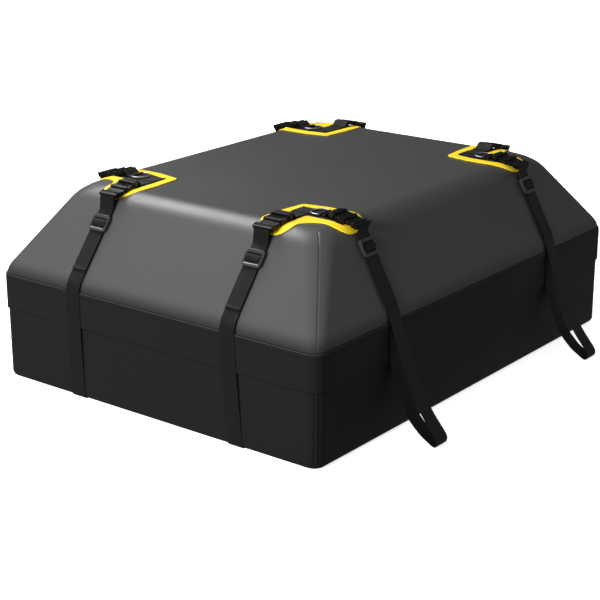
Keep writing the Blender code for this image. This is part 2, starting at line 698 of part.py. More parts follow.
def plug_mesh():
    """Plug of a side-release buckle: two springy prongs, a centre guide, a shoulder and an end bar."""
    w = PLUG_WIDE / 2
    edge = SOCKET_WIDE / 2 - SOCKET_WALL - SEAT
    half = [(-0.0120, 0.0), (-0.0120, 0.0034), (0.0095, 0.0036), (PLUG_SHOULDER, 0.0060),
            (PLUG_SHOULDER, 0.0105), (0.0040, 0.0125), (-0.0100, 0.0135), (-0.0150, 0.0165),
            (-0.0100, 0.0210), (-0.0064, edge), (-0.0062, 0.0185), (0.0030, 0.0175),
            (PLUG_SHOULDER, 0.0185), (PLUG_SHOULDER, w - 0.0010), (PLUG_END - 0.002, w - 0.0010),
            (PLUG_END, w - 0.003), (PLUG_END, 0.0)]
    points, faces = prism(mirror_outline(half), 0.0021, 0.0021 + PLUG_TALL, lambda a, b, h: (a, b, h))
    body = add_object("plug_body", points, faces, "buckle_plastic", smooth=0)
    shoulder_at = PLUG_SHOULDER + 0.0002
    collar = [(shoulder_at, -w + 0.0012), (shoulder_at, w - 0.0012), (0.0175, w + 0.0008),
              (0.030, w - 0.0002), (0.030, -w + 0.0002), (0.0175, -w - 0.0008)]
    points, faces = prism(collar, 0.0008, 0.0088, lambda a, b, h: (a, b, h))
    shoulder = add_object("collar", points, faces, "buckle_plastic", smooth=0)
    soften_top(shoulder, 0.0008)
    cut(body, shoulder, "UNION")
    slot = WEB_WIDE / 2 + 0.0006
    cut(body, box("slot", (0.0310, -slot, -0.01), (PLUG_END - BAR_LONG, slot, 0.02)))
    cut(body, box("bar_top", (0.0345, -slot, PLUG_BAR[1]), (0.05, slot, 0.02)))
    cut(body, box("bar_low", (0.0345, -slot, -0.01), (0.05, slot, PLUG_BAR[0])))
    return mesh_of(body)


def wrap(low, high, reach, start, end):
    """Path round a bar from below its far end, through the slot, over and down (along, up)."""
    a0, a1 = low[0], high[0]
    h0, h1 = low[1], high[1]
    corners = ((a0, h0, 270, 180), (a0, h1, 180, 90), (a1, h1, 90, 0))
    out = list(start)
    for a, h, first, last in corners:
        for share in (0.15, 0.85):
            angle = math.radians(first + (last - first) * share)
            out.append((a + 1.1 * reach * math.cos(angle), h + 1.1 * reach * math.sin(angle)))
    return out + list(end)


def adjuster_mesh():
    """Sliding adjuster in its own frame (along, across, up from the slope)."""
    a, b = ADJUSTER_LONG / 2, ADJUSTER_WIDE / 2
    raw = [(0.0, -b), (a, -b), (a, b), (-a, b), (-a, -b), (0.0, -b)]
    outline = [(p.x, p.y) for p in fillet(raw, [0.006] * 4, 2)[1:-1]]
    points, faces = prism(outline, 0.0018, ADJUSTER_HIGH, lambda x, y, h: (x, y, h))
    frame = add_object("frame", points, faces, "adjuster_plastic", smooth=0)
    soften_top(frame, 0.0009)
    inner = WEB_WIDE / 2 + 0.0005
    reach = a - ADJUSTER_BAR
    hole = [(0.0, -inner), (reach, -inner), (reach, inner), (-reach, inner), (-reach, -inner), (0.0, -inner)]
    outline = [(p.x, p.y) for p in fillet(hole, [0.002] * 4, 1)[1:-1]]
    points, faces = prism(outline, -0.01, 0.03, lambda x, y, h: (x, y, h))
    cut(frame, add_object("hole", points, faces, "adjuster_plastic", smooth=0))
    cut(frame, box("under", (-0.04, -inner, -0.01), (0.04, inner, ADJUSTER_MID)))
    low, high = ADJUSTER_LOW, STRAP_LIFT - SEAT
    rod = [(-0.0030, low + 0.0008), (-0.0020, low), (0.0020, low), (0.0030, low + 0.0008),
           (0.0030, high - 0.0008), (0.0020, high), (-0.0020, high), (-0.0030, high - 0.0008)]
    points, faces = prism(rod, -inner - 0.0015, inner + 0.0015, lambda x, h, y: (x, y, h))
    cut(frame, add_object("rod", points, faces, "adjuster_plastic", smooth=0), "UNION")
    return mesh_of(frame)


def place_mesh(name, shape, finish, put, spot, origin, smooth=30.0):
    """Copy of a shape in (along, across, up) at a spot of a face."""
    points, faces = shape
    placed = []
    for a, w, h in points:
        flat = spot(a, h)
        placed.append(put(flat.x, w, flat.y))
    flat = spot(*origin)
    return add_object(name, placed, faces, finish, put(flat.x, 0.0, flat.y), smooth)


def hardware():
    """Sockets, plugs and adjusters of the eight straps."""
    socket, plug, adjuster = socket_mesh(), plug_mesh(), adjuster_mesh()
    for _, sx, sy in CORNERS:
        for on_end in (True, False):
            name = strap_name(on_end, sx, sy)
            put = place_of(on_end, sx, sy)
            spot = lambda a, h: on_buckle(on_end, a, h)
            place_mesh(f"buckle_socket_{name}", socket, "buckle_plastic", put, spot, (0.0, 0.0))
            place_mesh(f"buckle_plug_{name}", plug, "buckle_plastic", put, spot, (SOCKET_MOUTH, 0.0047))
            half, inset = (HALF_Y, SLOPE_INSET_Y) if on_end else (HALF_X, SLOPE_INSET_X)
            along = END_ADJUSTER_S if on_end else SIDE_ADJUSTER_S
            on_slope = lambda a, h: slope_point(half, inset, along + a, h)
            place_mesh(f"adjuster_{name}", adjuster, "adjuster_plastic", put, on_slope, (0.0, STRAP_LIFT))


def ribbon(path, skins, half_wide, put, drift=None):
    """Webbing of a given width along a path of (outward, z) middle points."""
    count = len(path)
    points, faces = [], []
    for i, here in enumerate(path):
        back = path[i - 1] if i else here - (path[1] - here)
        ahead = path[i + 1] if i < count - 1 else here + (here - path[i - 1])
        inner = offset_corner(back, here, ahead, -skins[i] / 2)
        outer = offset_corner(back, here, ahead, skins[i] / 2)
        shift = drift[i] if drift else 0.0
        for spot, w in ((inner, -half_wide), (inner, half_wide), (outer, half_wide), (outer, -half_wide)):
            points.append(put(spot.x, w + shift, spot.y))
    for i in range(count - 1):
        for j in range(4):
            k = (j + 1) % 4
            faces.append((4 * i + j, 4 * i + k, 4 * i + 4 + k, 4 * i + 4 + j))
    faces.append((0, 1, 2, 3))
    faces.append((4 * count - 1, 4 * count - 2, 4 * count - 3, 4 * count - 4))
    return points, faces


def hook_path(on_end):
    """Webbing turned round the plug's end bar, from the stitched tail to where it leaves."""
    reach = WEB_SKIN / 2 + WRAP_GAP
    tail = PLUG_BAR[0] - reach
    start = (PLUG_END - BAR_LONG, PLUG_BAR[0])
    end = (PLUG_END, PLUG_BAR[1])
    local = wrap(start, end, reach, [(PLUG_END - 0.0014, tail)], [(PLUG_END + reach + 0.0006, 0.0034)])
    return [on_buckle(on_end, a, h) for a, h in local]


# Middle line of a hanging loop, as (outward from the side wall, z)
LOOP_OUT = ((0.0062, 0.2370), (0.0200, 0.1940), (0.0462, 0.1350), (0.0788, 0.0700),
            (0.1020, 0.0400), (0.1160, 0.0236), (0.1208, 0.0146), (0.1195, 0.0056), (0.1130, 0.0020))
LOOP_BACK = ((0.0990, 0.0092), (0.0803, 0.0206), (0.0684, 0.0309), (0.0570, 0.0422), (0.0480, 0.0530),
             (0.0313, 0.0880), (0.0150, 0.1240), (0.0066, 0.1560), (0.0046, 0.1900), (0.0046, 0.2280))


def straps():
    """Eight straps: those of the ends run under the floor, those of the sides hang as loops."""
    single, double = WEB_SKIN, 2 * WEB_SKIN
    for _, sx, sy in CORNERS:
        for on_end in (True, False):
            name = strap_name(on_end, sx, sy)
            put = place_of(on_end, sx, sy)
            half, inset = (HALF_Y, SLOPE_INSET_Y) if on_end else (HALF_X, SLOPE_INSET_X)
            path = hook_path(on_end)
            skins = [single] * (len(path) - 1) + [double * 0.8]
            near = (END_ADJUSTER_S if on_end else SIDE_ADJUSTER_S) - ADJUSTER_LONG / 2 - 0.006
            thick = STRAP_LIFT + double / 2
            thin = STRAP_LIFT + single / 2
            path.append(slope_point(half, inset, near - 0.008, thick + 0.0006))
            path.append(slope_point(half, inset, near, thick))
            skins += [double, double]
            if on_end:
                path.append(slope_point(half, inset, STEP_S, thick))
                path.append(slope_point(half, inset, STEP_S + 0.0002, thin))
                skins += [double, single]
                knee = [p for p in face_profile(half, inset, thin, 4) if p.y < KNEE_Z + 0.030]
                path += [p for p in reversed(knee) if p.y > FLAP_TOP_Z - 0.010]
                path += [Vector((half + thin, 0.150)), Vector((half + 0.0010, 0.022))]
                turn = 0.0065
                centre = Vector((half + 0.00095 - turn, 0.00095 + turn))
                for degrees in (0, 30, 60, 90):
                    angle = math.radians(degrees)
                    path.append(centre + Vector((math.cos(angle), -math.sin(angle))) * turn)
                path.append(Vector((half - UNDER_RUN, 0.00095)))
                skins += [single] * (len(path) - len(skins))
            else:
                loop_out = [Vector((half + a, z)) for a, z in LOOP_OUT]
                loop_back = [Vector((half + a, z)) for a, z in LOOP_BACK]
                path += [slope_point(half, inset, 0.165, thick), slope_point(half, inset, 0.184, thick)]
                skins += [double, double]
                legs = loop_out + loop_back
                doubled = len(path) + 4
                for spot in legs:
                    path.append(spot)
                    skins.append(double if len(path) <= doubled else single)
            drift = strap_drift(path, DRIFT[name] * sx if on_end else 0.0)
            points, faces = ribbon(path, skins, WEB_WIDE / 2, put, drift)
            add_object(f"strap_{name}", points, faces, "webbing", smooth=35)


def strap_drift(path, total):
    """Sideways shift of each path point: none above the stitched step, all of it at the floor."""
    out = []
    for spot in path:
        share = max(0.0, min(1.0, (0.279 - spot.y) / 0.275))
        out.append(total * share)
    return out


def anchor_webs():
    """Webbing sewn in an L on each corner patch, turned round both sockets' bars and the ring."""
    low = SEAT + BORDER_SKIN + SEAT
    wide = WEB_WIDE / 2
    for corner, sx, sy in CORNERS:
        put_end = place_of(True, sx, sy)
        put_side = place_of(False, sx, sy)
        ex, mid_y = END_STRAP_X, SIDE_STRAP_Y
        end_x, end_y = RING_BAR_X + 0.0075, mid_y + WEB_JOIN
        outline = [(ex - wide, mid_y - wide), (end_x, mid_y - wide), (end_x, mid_y + wide),
                   (ex + wide, mid_y + wide), (ex + wide, end_y), (ex - wide, end_y)]
        level = HEIGHT + low
        points, faces = prism(outline, level, level + WEB_SKIN, lambda x, y, h: (sx * x, sy * y, h))
        web = add_object(f"anchor_web_{corner}", points, faces, "webbing", smooth=0)
        for on_end, put in ((True, put_end), (False, put_side)):
            start = end_y - 0.0060 if on_end else RING_BAR_X + 0.0030
            mid = HEIGHT + low + WEB_SKIN * 0.5
            path = [Vector((start, mid)), Vector((start + 0.012, mid + 0.0002))]
            reach = WEB_SKIN / 2 + WRAP_GAP
            far, near = SOCKET_IN + SOCKET_BAR_LONG, SOCKET_IN
            hook = [(-a, h) for a, h in wrap((-far, SOCKET_BAR[0]), (-near, SOCKET_BAR[1]), reach, [], [])]
            hook.append((near - reach, SOCKET_BAR[0] + 0.0012))
            for a, h in hook:
                path.append(on_buckle(on_end, a, h))
            points, faces = ribbon(path, [WEB_SKIN * 0.92] * len(path), wide * 0.985, put)
            cut(web, add_object("turn", points, faces, "webbing", smooth=0), "UNION")
        bar_z = HEIGHT + low + WEB_SKIN + SEAT + RING_WIRE_R
        inner = (RING_WIRE_R + SEAT) / math.cos(math.radians(22.5))
        outer = inner + WEB_SKIN
        sleeve, hole = [], []
        for degrees in range(0, 360, 45):
            angle = math.radians(degrees)
            sleeve.append((RING_BAR_X + outer * math.cos(angle), bar_z + outer * math.sin(angle)))
            hole.append((RING_BAR_X + inner * math.cos(angle), bar_z + inner * math.sin(angle)))
        half_keep = KEEPER_WIDE / 2
        upright = lambda x, z, y: (sx * x, sy * y, z)
        points, faces = prism(sleeve, mid_y - half_keep, mid_y + half_keep, upright)
        cut(web, add_object("sleeve", points, faces, "webbing", smooth=0), "UNION")
        points, faces = prism(hole, mid_y - 0.03, mid_y + 0.03, upright)
        cut(web, add_object("hole", points, faces, "webbing", smooth=0))
        web.data.shade_smooth()
        web.data.set_sharp_from_angle(angle=math.radians(40))


def d_rings():
    """Welded steel ring at each corner, its straight bar in the webbing's sleeve."""
    low = SEAT + BORDER_SKIN + SEAT
    z = HEIGHT + low + WEB_SKIN + SEAT + RING_WIRE_R
    w = RING_HALF_WIDE
    bow = [(0.0, -w * 0.6), (0.0, w * 0.6), (0.0, w - 0.003), (-0.0012, w - 0.0006), (-0.0040, w)]
    straight = -RING_REACH + w * 0.92
    for degrees in range(0, 181, 36):
        angle = math.radians(degrees)
        bow.append((straight - w * 0.92 * math.sin(angle), w * math.cos(angle)))
    bow += [(-0.0040, -w), (-0.0012, -w + 0.0006), (0.0, -w + 0.003)]
    path = [Vector(p) for p in bow]
    count = len(path)
    for corner, sx, sy in CORNERS:
        points, faces = [], []
        for i, here in enumerate(path):
            side = offset_corner(path[i - 1], here, path[(i + 1) % count], 1.0) - here
            for k in range(WIRE_SIDES):
                angle = math.radians(360 * k / WIRE_SIDES + 90)
                flat = here + side * RING_WIRE_R * math.cos(angle)
                points.append((sx * (RING_BAR_X + flat.x), sy * (SIDE_STRAP_Y + flat.y),
                               z + RING_WIRE_R * math.sin(angle)))
        for i in range(count):
            m = (i + 1) % count
            for k in range(WIRE_SIDES):
                n = (k + 1) % WIRE_SIDES
                faces.append(tuple(WIRE_SIDES * a + b for a, b in ((i, k), (i, n), (m, n), (m, k))))
        add_object(f"d_ring_{corner}", points, faces, "ring_steel",
                   (sx * RING_BAR_X, sy * SIDE_STRAP_Y, z), smooth=65)


def main():
    """Build every piece of the bag."""
    clear_scene()
    base_tub()
    lid()
    storm_flap()
    zip_and_hinge()
    zip_sliders()
    corner_patches()
    hardware()
    straps()
    anchor_webs()
    d_rings()


main()
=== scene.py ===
"""Looks of the foldable rooftop cargo bag: cloth shells, webbing, buckles, light and camera.

Every length is in metres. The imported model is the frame, and its bodies carry what is made here.
"""

import logging
import math
from dataclasses import dataclass, field
from enum import Enum
from typing import Callable, Iterable, Sequence

import bmesh
import bpy
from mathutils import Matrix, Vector


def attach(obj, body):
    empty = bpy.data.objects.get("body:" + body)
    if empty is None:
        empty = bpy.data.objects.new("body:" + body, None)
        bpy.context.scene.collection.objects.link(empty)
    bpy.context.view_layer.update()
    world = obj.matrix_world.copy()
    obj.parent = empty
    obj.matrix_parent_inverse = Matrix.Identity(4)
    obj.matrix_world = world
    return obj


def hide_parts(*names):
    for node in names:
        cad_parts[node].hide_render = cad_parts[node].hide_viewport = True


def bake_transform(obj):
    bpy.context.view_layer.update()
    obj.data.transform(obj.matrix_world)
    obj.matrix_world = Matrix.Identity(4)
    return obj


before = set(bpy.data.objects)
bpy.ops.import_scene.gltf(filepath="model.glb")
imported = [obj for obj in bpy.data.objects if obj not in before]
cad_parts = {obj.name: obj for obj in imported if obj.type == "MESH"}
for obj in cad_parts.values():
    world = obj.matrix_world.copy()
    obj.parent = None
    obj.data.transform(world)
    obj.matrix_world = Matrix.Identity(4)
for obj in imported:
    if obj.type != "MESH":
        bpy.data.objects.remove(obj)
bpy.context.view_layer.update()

log = logging.getLogger("cargo_bag")

Plan = tuple[float, float]
Placing = Callable[[float, float, float], Vector]


class Corner(Enum):
    """The bag's four corners, as signs of X and Y."""

    front_right = (1, -1)
    front_left = (-1, -1)
    rear_right = (1, 1)
    rear_left = (-1, 1)


class Side(Enum):
    """Which faces a strap runs down: an end of the bag or one of its long sides."""

    END = "end"
    LONG = "long"


@dataclass(frozen=True)
class BagShape:
    """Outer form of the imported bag, the same as the solids'."""

    half_x: float = 0.432
    half_y: float = 0.568
    height: float = 0.428
    knee_z: float = 0.2494
    inset_x: float = 0.0969
    inset_y: float = 0.1396
    base_round: float = 0.0114
    knee_round: float = 0.053
    top_round: float = 0.0695
    wall_corner: float = 0.0276
    top_corner: float = 0.055
    buckle_tilt: float = math.radians(14.0)
    buckle_rise: float = 0.0024

    def slope_turn(self, inset: float) -> float:
        """Angle between the flat top and a slope."""
        return math.atan2(self.height - self.knee_z, inset)

    def crown_start(self, half: float, inset: float) -> float:
        """Where the rounded edge of the flat top begins, measured outward."""
        return half - inset - self.top_round * math.tan(self.slope_turn(inset) / 2)

    def reach(self, half: float, inset: float, z: float) -> float:
        """Outward reach of a face at a height.

        Args:
            half: half of the bag's width across that face.
            inset: how far the top edge stands back from the wall.
            z: the height.

        Returns:
            The distance from the bag's middle to its skin.
        """
        turn = self.slope_turn(inset)
        bend = math.pi / 2 - turn
        knee_low = self.knee_z - self.knee_round * math.tan(bend / 2)
        knee_high = knee_low + self.knee_round * math.sin(bend)
        crown_low = self.height - self.top_round * (1 - math.cos(turn))
        if z < self.base_round:
            share = 1 - max(z, 0.0) / self.base_round
            return half - self.base_round * (1 - math.sqrt(max(0.0, 1 - share * share)))
        if z <= knee_low:
            return half
        if z <= knee_high:
            share = (z - knee_low) / self.knee_round
            return half - self.knee_round * (1 - math.sqrt(1 - share * share))
        if z <= crown_low:
            return half - inset * (z - self.knee_z) / (self.height - self.knee_z)
        share = 1 - (self.height - min(z, self.height)) / self.top_round
        return self.crown_start(half, inset) + self.top_round * math.sqrt(max(0.0, 1 - share * share))

    def corner(self, z: float) -> float:
        """Radius of the bag's upright corners at a height."""
        share = min(1.0, max(0.0, (z - self.knee_z) / (self.height - self.knee_z)))
        return self.wall_corner + (self.top_corner - self.wall_corner) * share

    def inside(self, x: float, y: float, z: float) -> bool:
        """Whether a point of the first quadrant is within the bag's outline at a height.

        Args:
            x: distance from the middle, across.
            y: distance from the middle, along.
            z: the height.

        Returns:
            True where the point is within the outline.
        """
        radius = self.corner(z)
        past_x = max(x - (self.reach(self.half_x, self.inset_x, z) - radius), 0.0)
        past_y = max(y - (self.reach(self.half_y, self.inset_y, z) - radius), 0.0)
        return math.hypot(past_x, past_y) <= radius

    def top_at(self, x: float, y: float) -> float:
        """Height of the lid above a plan place of the first quadrant.

        Args:
            x: distance from the middle, across.
            y: distance from the middle, along.

        Returns:
            The height.
        """
        if self.inside(x, y, self.height - 1e-7):
            return self.height
        low, high = self.knee_z, self.height
        for _ in range(34):
            middle = (low + high) / 2
            if self.inside(x, y, middle):
                low = middle
            else:
                high = middle
        return low

    def drape(self, x: float, y: float, lift: float) -> Vector:
        """Point lifted off the lid's skin above a plan place.

        Args:
            x: distance from the middle, across.
            y: distance from the middle, along.
            lift: how far the point stands off the skin.

        Returns:
            The point, in the first quadrant.
        """
        step = 0.002
        z = self.top_at(x, y)
        fall_x = (self.top_at(x + step, y) - self.top_at(x - step, y)) / (2 * step)
        fall_y = (self.top_at(x, y + step) - self.top_at(x, y - step)) / (2 * step)
        normal = Vector((-fall_x, -fall_y, 1.0)).normalized()
        return Vector((x, y, z)) + normal * lift

    def slope(self, side: Side, along: float, lift: float) -> Vector:
        """Place (outward, z) on a slope, measured down from its top corner.

        Args:
            side: an end or a long side.
            along: how far down the slope.
            lift: how far off the skin.

        Returns:
            The place.
        """
        half, inset = self.face(side)
        run = math.hypot(inset, self.height - self.knee_z)
        down = Vector((inset, self.knee_z - self.height)) / run
        out = Vector((self.height - self.knee_z, inset)) / run
        return Vector((half - inset, self.height)) + down * along + out * lift

    def face(self, side: Side) -> tuple[float, float]:
        """Half width and slope inset of an end or a long side."""
        return (self.half_y, self.inset_y) if side is Side.END else (self.half_x, self.inset_x)

    def over_edge(self, side: Side, along: float, up: float) -> Vector:
        """Place (outward, z) along and above a buckle laid over the top's rounded edge.

        Args:
            side: an end or a long side.
            along: how far outward along the buckle.
            up: how far above its underside.

        Returns:
            The place.
        """
        half, inset = self.face(side)
        normal = Vector((math.sin(self.buckle_tilt), math.cos(self.buckle_tilt)))
        forward = Vector((math.cos(self.buckle_tilt), -math.sin(self.buckle_tilt)))
        middle = Vector((self.crown_start(half, inset), self.height - self.top_round))
        return middle + normal * (self.top_round + self.buckle_rise + up) + forward * along

    def around(self, side: Side, lift: float, low: float, high: float) -> list[Vector]:
        """Places (outward, z) round the knee between two heights, going down.

        Args:
            side: an end or a long side.
            lift: how far off the skin.
            low: the lower height.
            high: the upper height.

        Returns:
            The places.
        """
        half, inset = self.face(side)
        bend = math.pi / 2 - self.slope_turn(inset)
        radius = self.knee_round + lift
        middle = Vector((half - self.knee_round, self.knee_z - self.knee_round * math.tan(bend / 2)))
        turns = [bend * k / 8 for k in range(8, -1, -1)]
        out = [middle + Vector((math.cos(turn), math.sin(turn))) * radius for turn in turns]
        return [spot for spot in out if low < spot.y < high]


BAG = BagShape()


class Value:
    """A shader socket that can be used in plain sums."""

    def __init__(self, paint: "Paint", socket: bpy.types.NodeSocket) -> None:
        """Wrap a socket of a paint's node tree."""
        self.paint = paint
        self.socket = socket

    def _math(self, operation: str, *others: "Value | float", flip: bool = False) -> "Value":
        """Math node on this value and others, in that order or turned round.

        Args:
            operation: the node's operation.
            others: the other values.
            flip: whether their order is turned.

        Returns:
            The result.
        """
        terms = [self, *others]
        if flip:
            terms.reverse()
        made = self.paint.node("ShaderNodeMath", {"operation": operation}, dict(enumerate(terms)))
        return Value(self.paint, made.outputs[0])

    def __add__(self, other: "Value | float") -> "Value":
        """Sum."""
        return self._math("ADD", other)

    def __sub__(self, other: "Value | float") -> "Value":
        """Difference."""
        return self._math("SUBTRACT", other)

    def __rsub__(self, other: float) -> "Value":
        """Difference from a number."""
        return self._math("SUBTRACT", other, flip=True)

    def __mul__(self, other: "Value | float") -> "Value":
        """Product."""
        return self._math("MULTIPLY", other)

    def __truediv__(self, other: "Value | float") -> "Value":
        """Quotient."""
        return self._math("DIVIDE", other)

    __radd__ = __add__
    __rmul__ = __mul__

    def wave(self) -> "Value":
        """Sine of the value, in radians."""
        return self._math("SINE")

    def size(self) -> "Value":
        """Value without its sign."""
        return self._math("ABSOLUTE")

    def lesser(self, other: "Value | float") -> "Value":
        """The smaller of two values."""
        return self._math("MINIMUM", other)

    def greater(self, other: "Value | float") -> "Value":
        """The larger of two values."""
        return self._math("MAXIMUM", other)

    def over(self, other: "Value | float") -> "Value":
        """One where the value is above another, else nothing."""
        return self._math("GREATER_THAN", other)

    def part(self) -> "Value":
        """What is left after the whole number."""
        return self._math("FRACT")

    def fade(self, low: float, high: float) -> "Value":
        """Smooth step from nothing at one value to one at another.

        Args:
            low: where the step starts.
            high: where it ends.

        Returns:
            The step.
        """
        settings = {"interpolation_type": "SMOOTHSTEP"}
        made = self.paint.node("ShaderNodeMapRange", settings, {0: self, 1: low, 2: high, 3: 0.0, 4: 1.0})
        return Value(self.paint, made.outputs[0])


class Paint:
    """A material and the few steps that every finish is made with."""

    def __init__(self, name: str, colour: Sequence[float], roughness: float, metallic: float = 0.0) -> None:
        """Start a Principled material with plain values.

        Args:
            name: the material's name.
            colour: its plain colour.
            roughness: its plain roughness.
            metallic: 1 for metal.
        """
        self.material = bpy.data.materials.new(name)
        self.material.use_nodes = True
        self.tree = self.material.node_tree
        self.shader = self.tree.nodes["Principled BSDF"]
        self.set("Base Color", (*colour, 1.0))
        self.set("Roughness", roughness)
        self.set("Metallic", metallic)

    def set(self, name: str, value: object) -> None:
        """Give a shader input a value, a wrapped value or a socket."""
        self._feed(self.shader.inputs[name], value)

    def _feed(self, target: bpy.types.NodeSocket, value: object) -> None:
        """Link or set one input.

        Args:
            target: the input.
            value: a number, a wrapped value or a socket.
        """
        if isinstance(value, Value):
            self.tree.links.new(value.socket, target)
        elif isinstance(value, bpy.types.NodeSocket):
            self.tree.links.new(value, target)
        else:
            target.default_value = value

    def node(self, kind: str, settings: dict | None = None, inputs: dict | None = None) -> bpy.types.Node:
        """Add a node.

        Args:
            kind: the node's type.
            settings: its options, set first.
            inputs: values or links of its sockets, by name or place.

        Returns:
            The node.
        """
        made = self.tree.nodes.new(kind)
        for name, value in (settings or {}).items():
            setattr(made, name, value)
        for name, value in (inputs or {}).items():
            self._feed(made.inputs[name], value)
        return made

    def place(self) -> tuple[Value, Value, Value]:
        """X, Y and Z of the shaded point in the bag's frame.

        Returns:
            The three values.
        """
        coordinates = self.node("ShaderNodeTexCoord")
        split = self.node("ShaderNodeSeparateXYZ", inputs={0: coordinates.outputs["Object"]})
        return tuple(Value(self, split.outputs[i]) for i in range(3))

    def strip(self) -> tuple[Value, Value]:
        """Metres across and along a strip of webbing or trim, from its own map.

        Returns:
            The two values.
        """
        coordinates = self.node("ShaderNodeTexCoord")
        split = self.node("ShaderNodeSeparateXYZ", inputs={0: coordinates.outputs["UV"]})
        return Value(self, split.outputs[0]), Value(self, split.outputs[1])

    def noise(self, scale: float, detail: float = 3.0, roughness: float = 0.55) -> Value:
        """Soft random field in the bag's frame, around one half.

        Args:
            scale: how fine it is.
            detail: how many finer layers it has.
            roughness: how strong they are.

        Returns:
            The field.
        """
        coordinates = self.node("ShaderNodeTexCoord")
        inputs = {"Vector": coordinates.outputs["Object"], "Scale": scale, "Detail": detail,
                  "Roughness": roughness}
        return Value(self, self.node("ShaderNodeTexNoise", inputs=inputs).outputs[0])

    def mix(self, share: Value | float, first: Sequence[float], second: object) -> bpy.types.NodeSocket:
        """Colour between two, by a share.

        Args:
            share: how much of the second colour.
            first: the first colour.
            second: the second colour.

        Returns:
            The mixed colour's socket.
        """
        settings = {"data_type": "RGBA"}
        low = (*first, 1.0) if isinstance(first, tuple) else first
        high = (*second, 1.0) if isinstance(second, tuple) else second
        return self.node("ShaderNodeMix", settings, {0: share, 6: low, 7: high}).outputs[2]

    def bump(self, height: Value, distance: float, strength: float = 1.0) -> None:
        """Raise the surface by a height field."""
        inputs = {"Height": height, "Distance": distance, "Strength": strength}
        self.set("Normal", self.node("ShaderNodeBump", inputs=inputs).outputs[0])


@dataclass(frozen=True)
class CoatedCloth:
    """Coated cloth with a fine grain, soft unevenness and welded corner seams."""

    name: str
    colour: tuple[float, float, float]
    roughness: float
    gloss: float
    on_lid: bool
    lid_seam_in: float = 0.016
    lid_ridge_at: float = 0.0042
    tub_seam_low: float = 0.012
    tub_seam_high: float = 0.1598
    tub_groove_at: float = 0.0045
    # Painted shade: between these heights the lid's colour fades to the base cloth's black, standing in for
    # the shade where its knee turns down.
    shade_low: float = 0.238
    shade_high: float = 0.273
    shade_depth: float = 0.84
    shade_colour: tuple[float, float, float] = (0.0072, 0.0072, 0.0071)
    # Painted highlight: a pale line along the storm flap's top edge.
    top_highlight_z: float = 0.2381
    top_highlight_colour: tuple[float, float, float] = (0.045, 0.045, 0.045)
    # Painted shadow: a dark line just under the storm flap's lower edge.
    edge_z: float = 0.1597
    shadow_line_colour: tuple[float, float, float] = (0.0014, 0.0014, 0.0014)
    stitch_z: float = 0.2292
    stitch_colour: tuple[float, float, float] = (0.0020, 0.0020, 0.0020)

    def seam_offset(self, place: tuple[Value, Value, Value]) -> Value:
        """Sideways distance from the middle of the nearest upright corner.

        Args:
            place: the shaded point.

        Returns:
            The distance in metres, positive toward the long side.
        """
        x, y, z = place
        plain = x.size() - y.size() + (BAG.half_y - BAG.half_x)
        if not self.on_lid:
            return plain / math.sqrt(2)
        lean = (BAG.inset_y - BAG.inset_x) / (BAG.height - BAG.knee_z)
        risen = (z - BAG.knee_z).greater(0.0)
        return (plain - risen * lean) / math.sqrt(2)

    def seam(self, place: tuple[Value, Value, Value]) -> tuple[Value, Value]:
        """Groove and ridge of the corner seam: one line on the lid, two on the tub.

        Args:
            place: the shaded point.

        Returns:
            The groove and the ridge, each from nothing to one.
        """
        across = self.seam_offset(place)
        if self.on_lid:
            start = BAG.crown_start(BAG.half_x, BAG.inset_x) + self.lid_seam_in
            shown = (place[0].size() - start).over(0.0)
            groove = 1 - across.size().fade(0.0004, 0.0020)
            return groove * shown, (1 - (across - self.lid_ridge_at).size().fade(0.0008, 0.0026)) * shown
        shown = place[2].over(self.tub_seam_low) * (1 - place[2].over(self.tub_seam_high))
        groove = 1 - (across.size() - self.tub_groove_at).size().fade(0.0004, 0.0016)
        return groove * shown, (1 - across.size().fade(0.0006, 0.0040)) * shown

    def hem_shading_and_stitch(self, paint: Paint, tone: bpy.types.NodeSocket) -> bpy.types.NodeSocket:
        """Painted shade that darkens the lid toward its seam, or on the storm flap a painted highlight along
        its top edge, a painted shadow under its lower edge and a stitch line.

        Args:
            paint: the material in work.
            tone: its colour so far.

        Returns:
            The colour with its painted shade, highlight and shadow and the stitch line.
        """
        height = paint.place()[2]
        if self.on_lid:
            # Painted shade: the lid darkens toward its seam, where its knee turns away from the light.
            painted_shade = (1 - height.fade(self.shade_low, self.shade_high)) * self.shade_depth
            return paint.mix(painted_shade, tone, self.shade_colour)
        # Painted highlight along the flap's top edge.
        top_highlight = 1 - (height - self.top_highlight_z).size().fade(0.0004, 0.0014)
        stitch = 1 - (height - self.stitch_z).size().fade(0.0002, 0.0012)
        # Painted shadow under the flap's lower edge.
        edge = 1 - (height - self.edge_z).size().fade(0.0006, 0.0022)
        tone = paint.mix(top_highlight * 0.55, tone, self.top_highlight_colour)
        tone = paint.mix(edge * 0.75, tone, self.shadow_line_colour)
        return paint.mix(stitch * 0.5, tone, self.stitch_colour)

    def paint(self) -> Paint:
        """Make the cloth's material.

        Returns:
            The material.
        """
        paint = Paint(self.name, self.colour, self.roughness)
        groove, ridge = self.seam(paint.place())
        dark, low, light = (tuple(c * k for c in self.colour) for k in (0.38, 0.95, 1.55))
        cloudy = paint.noise(5.0).fade(0.3, 0.7)
        tone = paint.mix(cloudy * 0.5, self.colour, low)
        # Painted highlight on the seam's ridge and painted shade in its groove; the bump gives the seam its
        # shape.
        tone = paint.mix(ridge * 0.14, tone, light)
        paint.set("Base Color", paint.mix(groove * 0.8, self.hem_shading_and_stitch(paint, tone), dark))
        paint.set("Roughness", cloudy * 0.05 + (self.roughness - 0.025))
        paint.set("Specular IOR Level", self.gloss)
        grain = paint.noise(900.0, 2.0)
        paint.bump(ridge * 0.0002 - groove * 0.0006 + grain * 0.00005, 1.0, 0.8)
        return paint


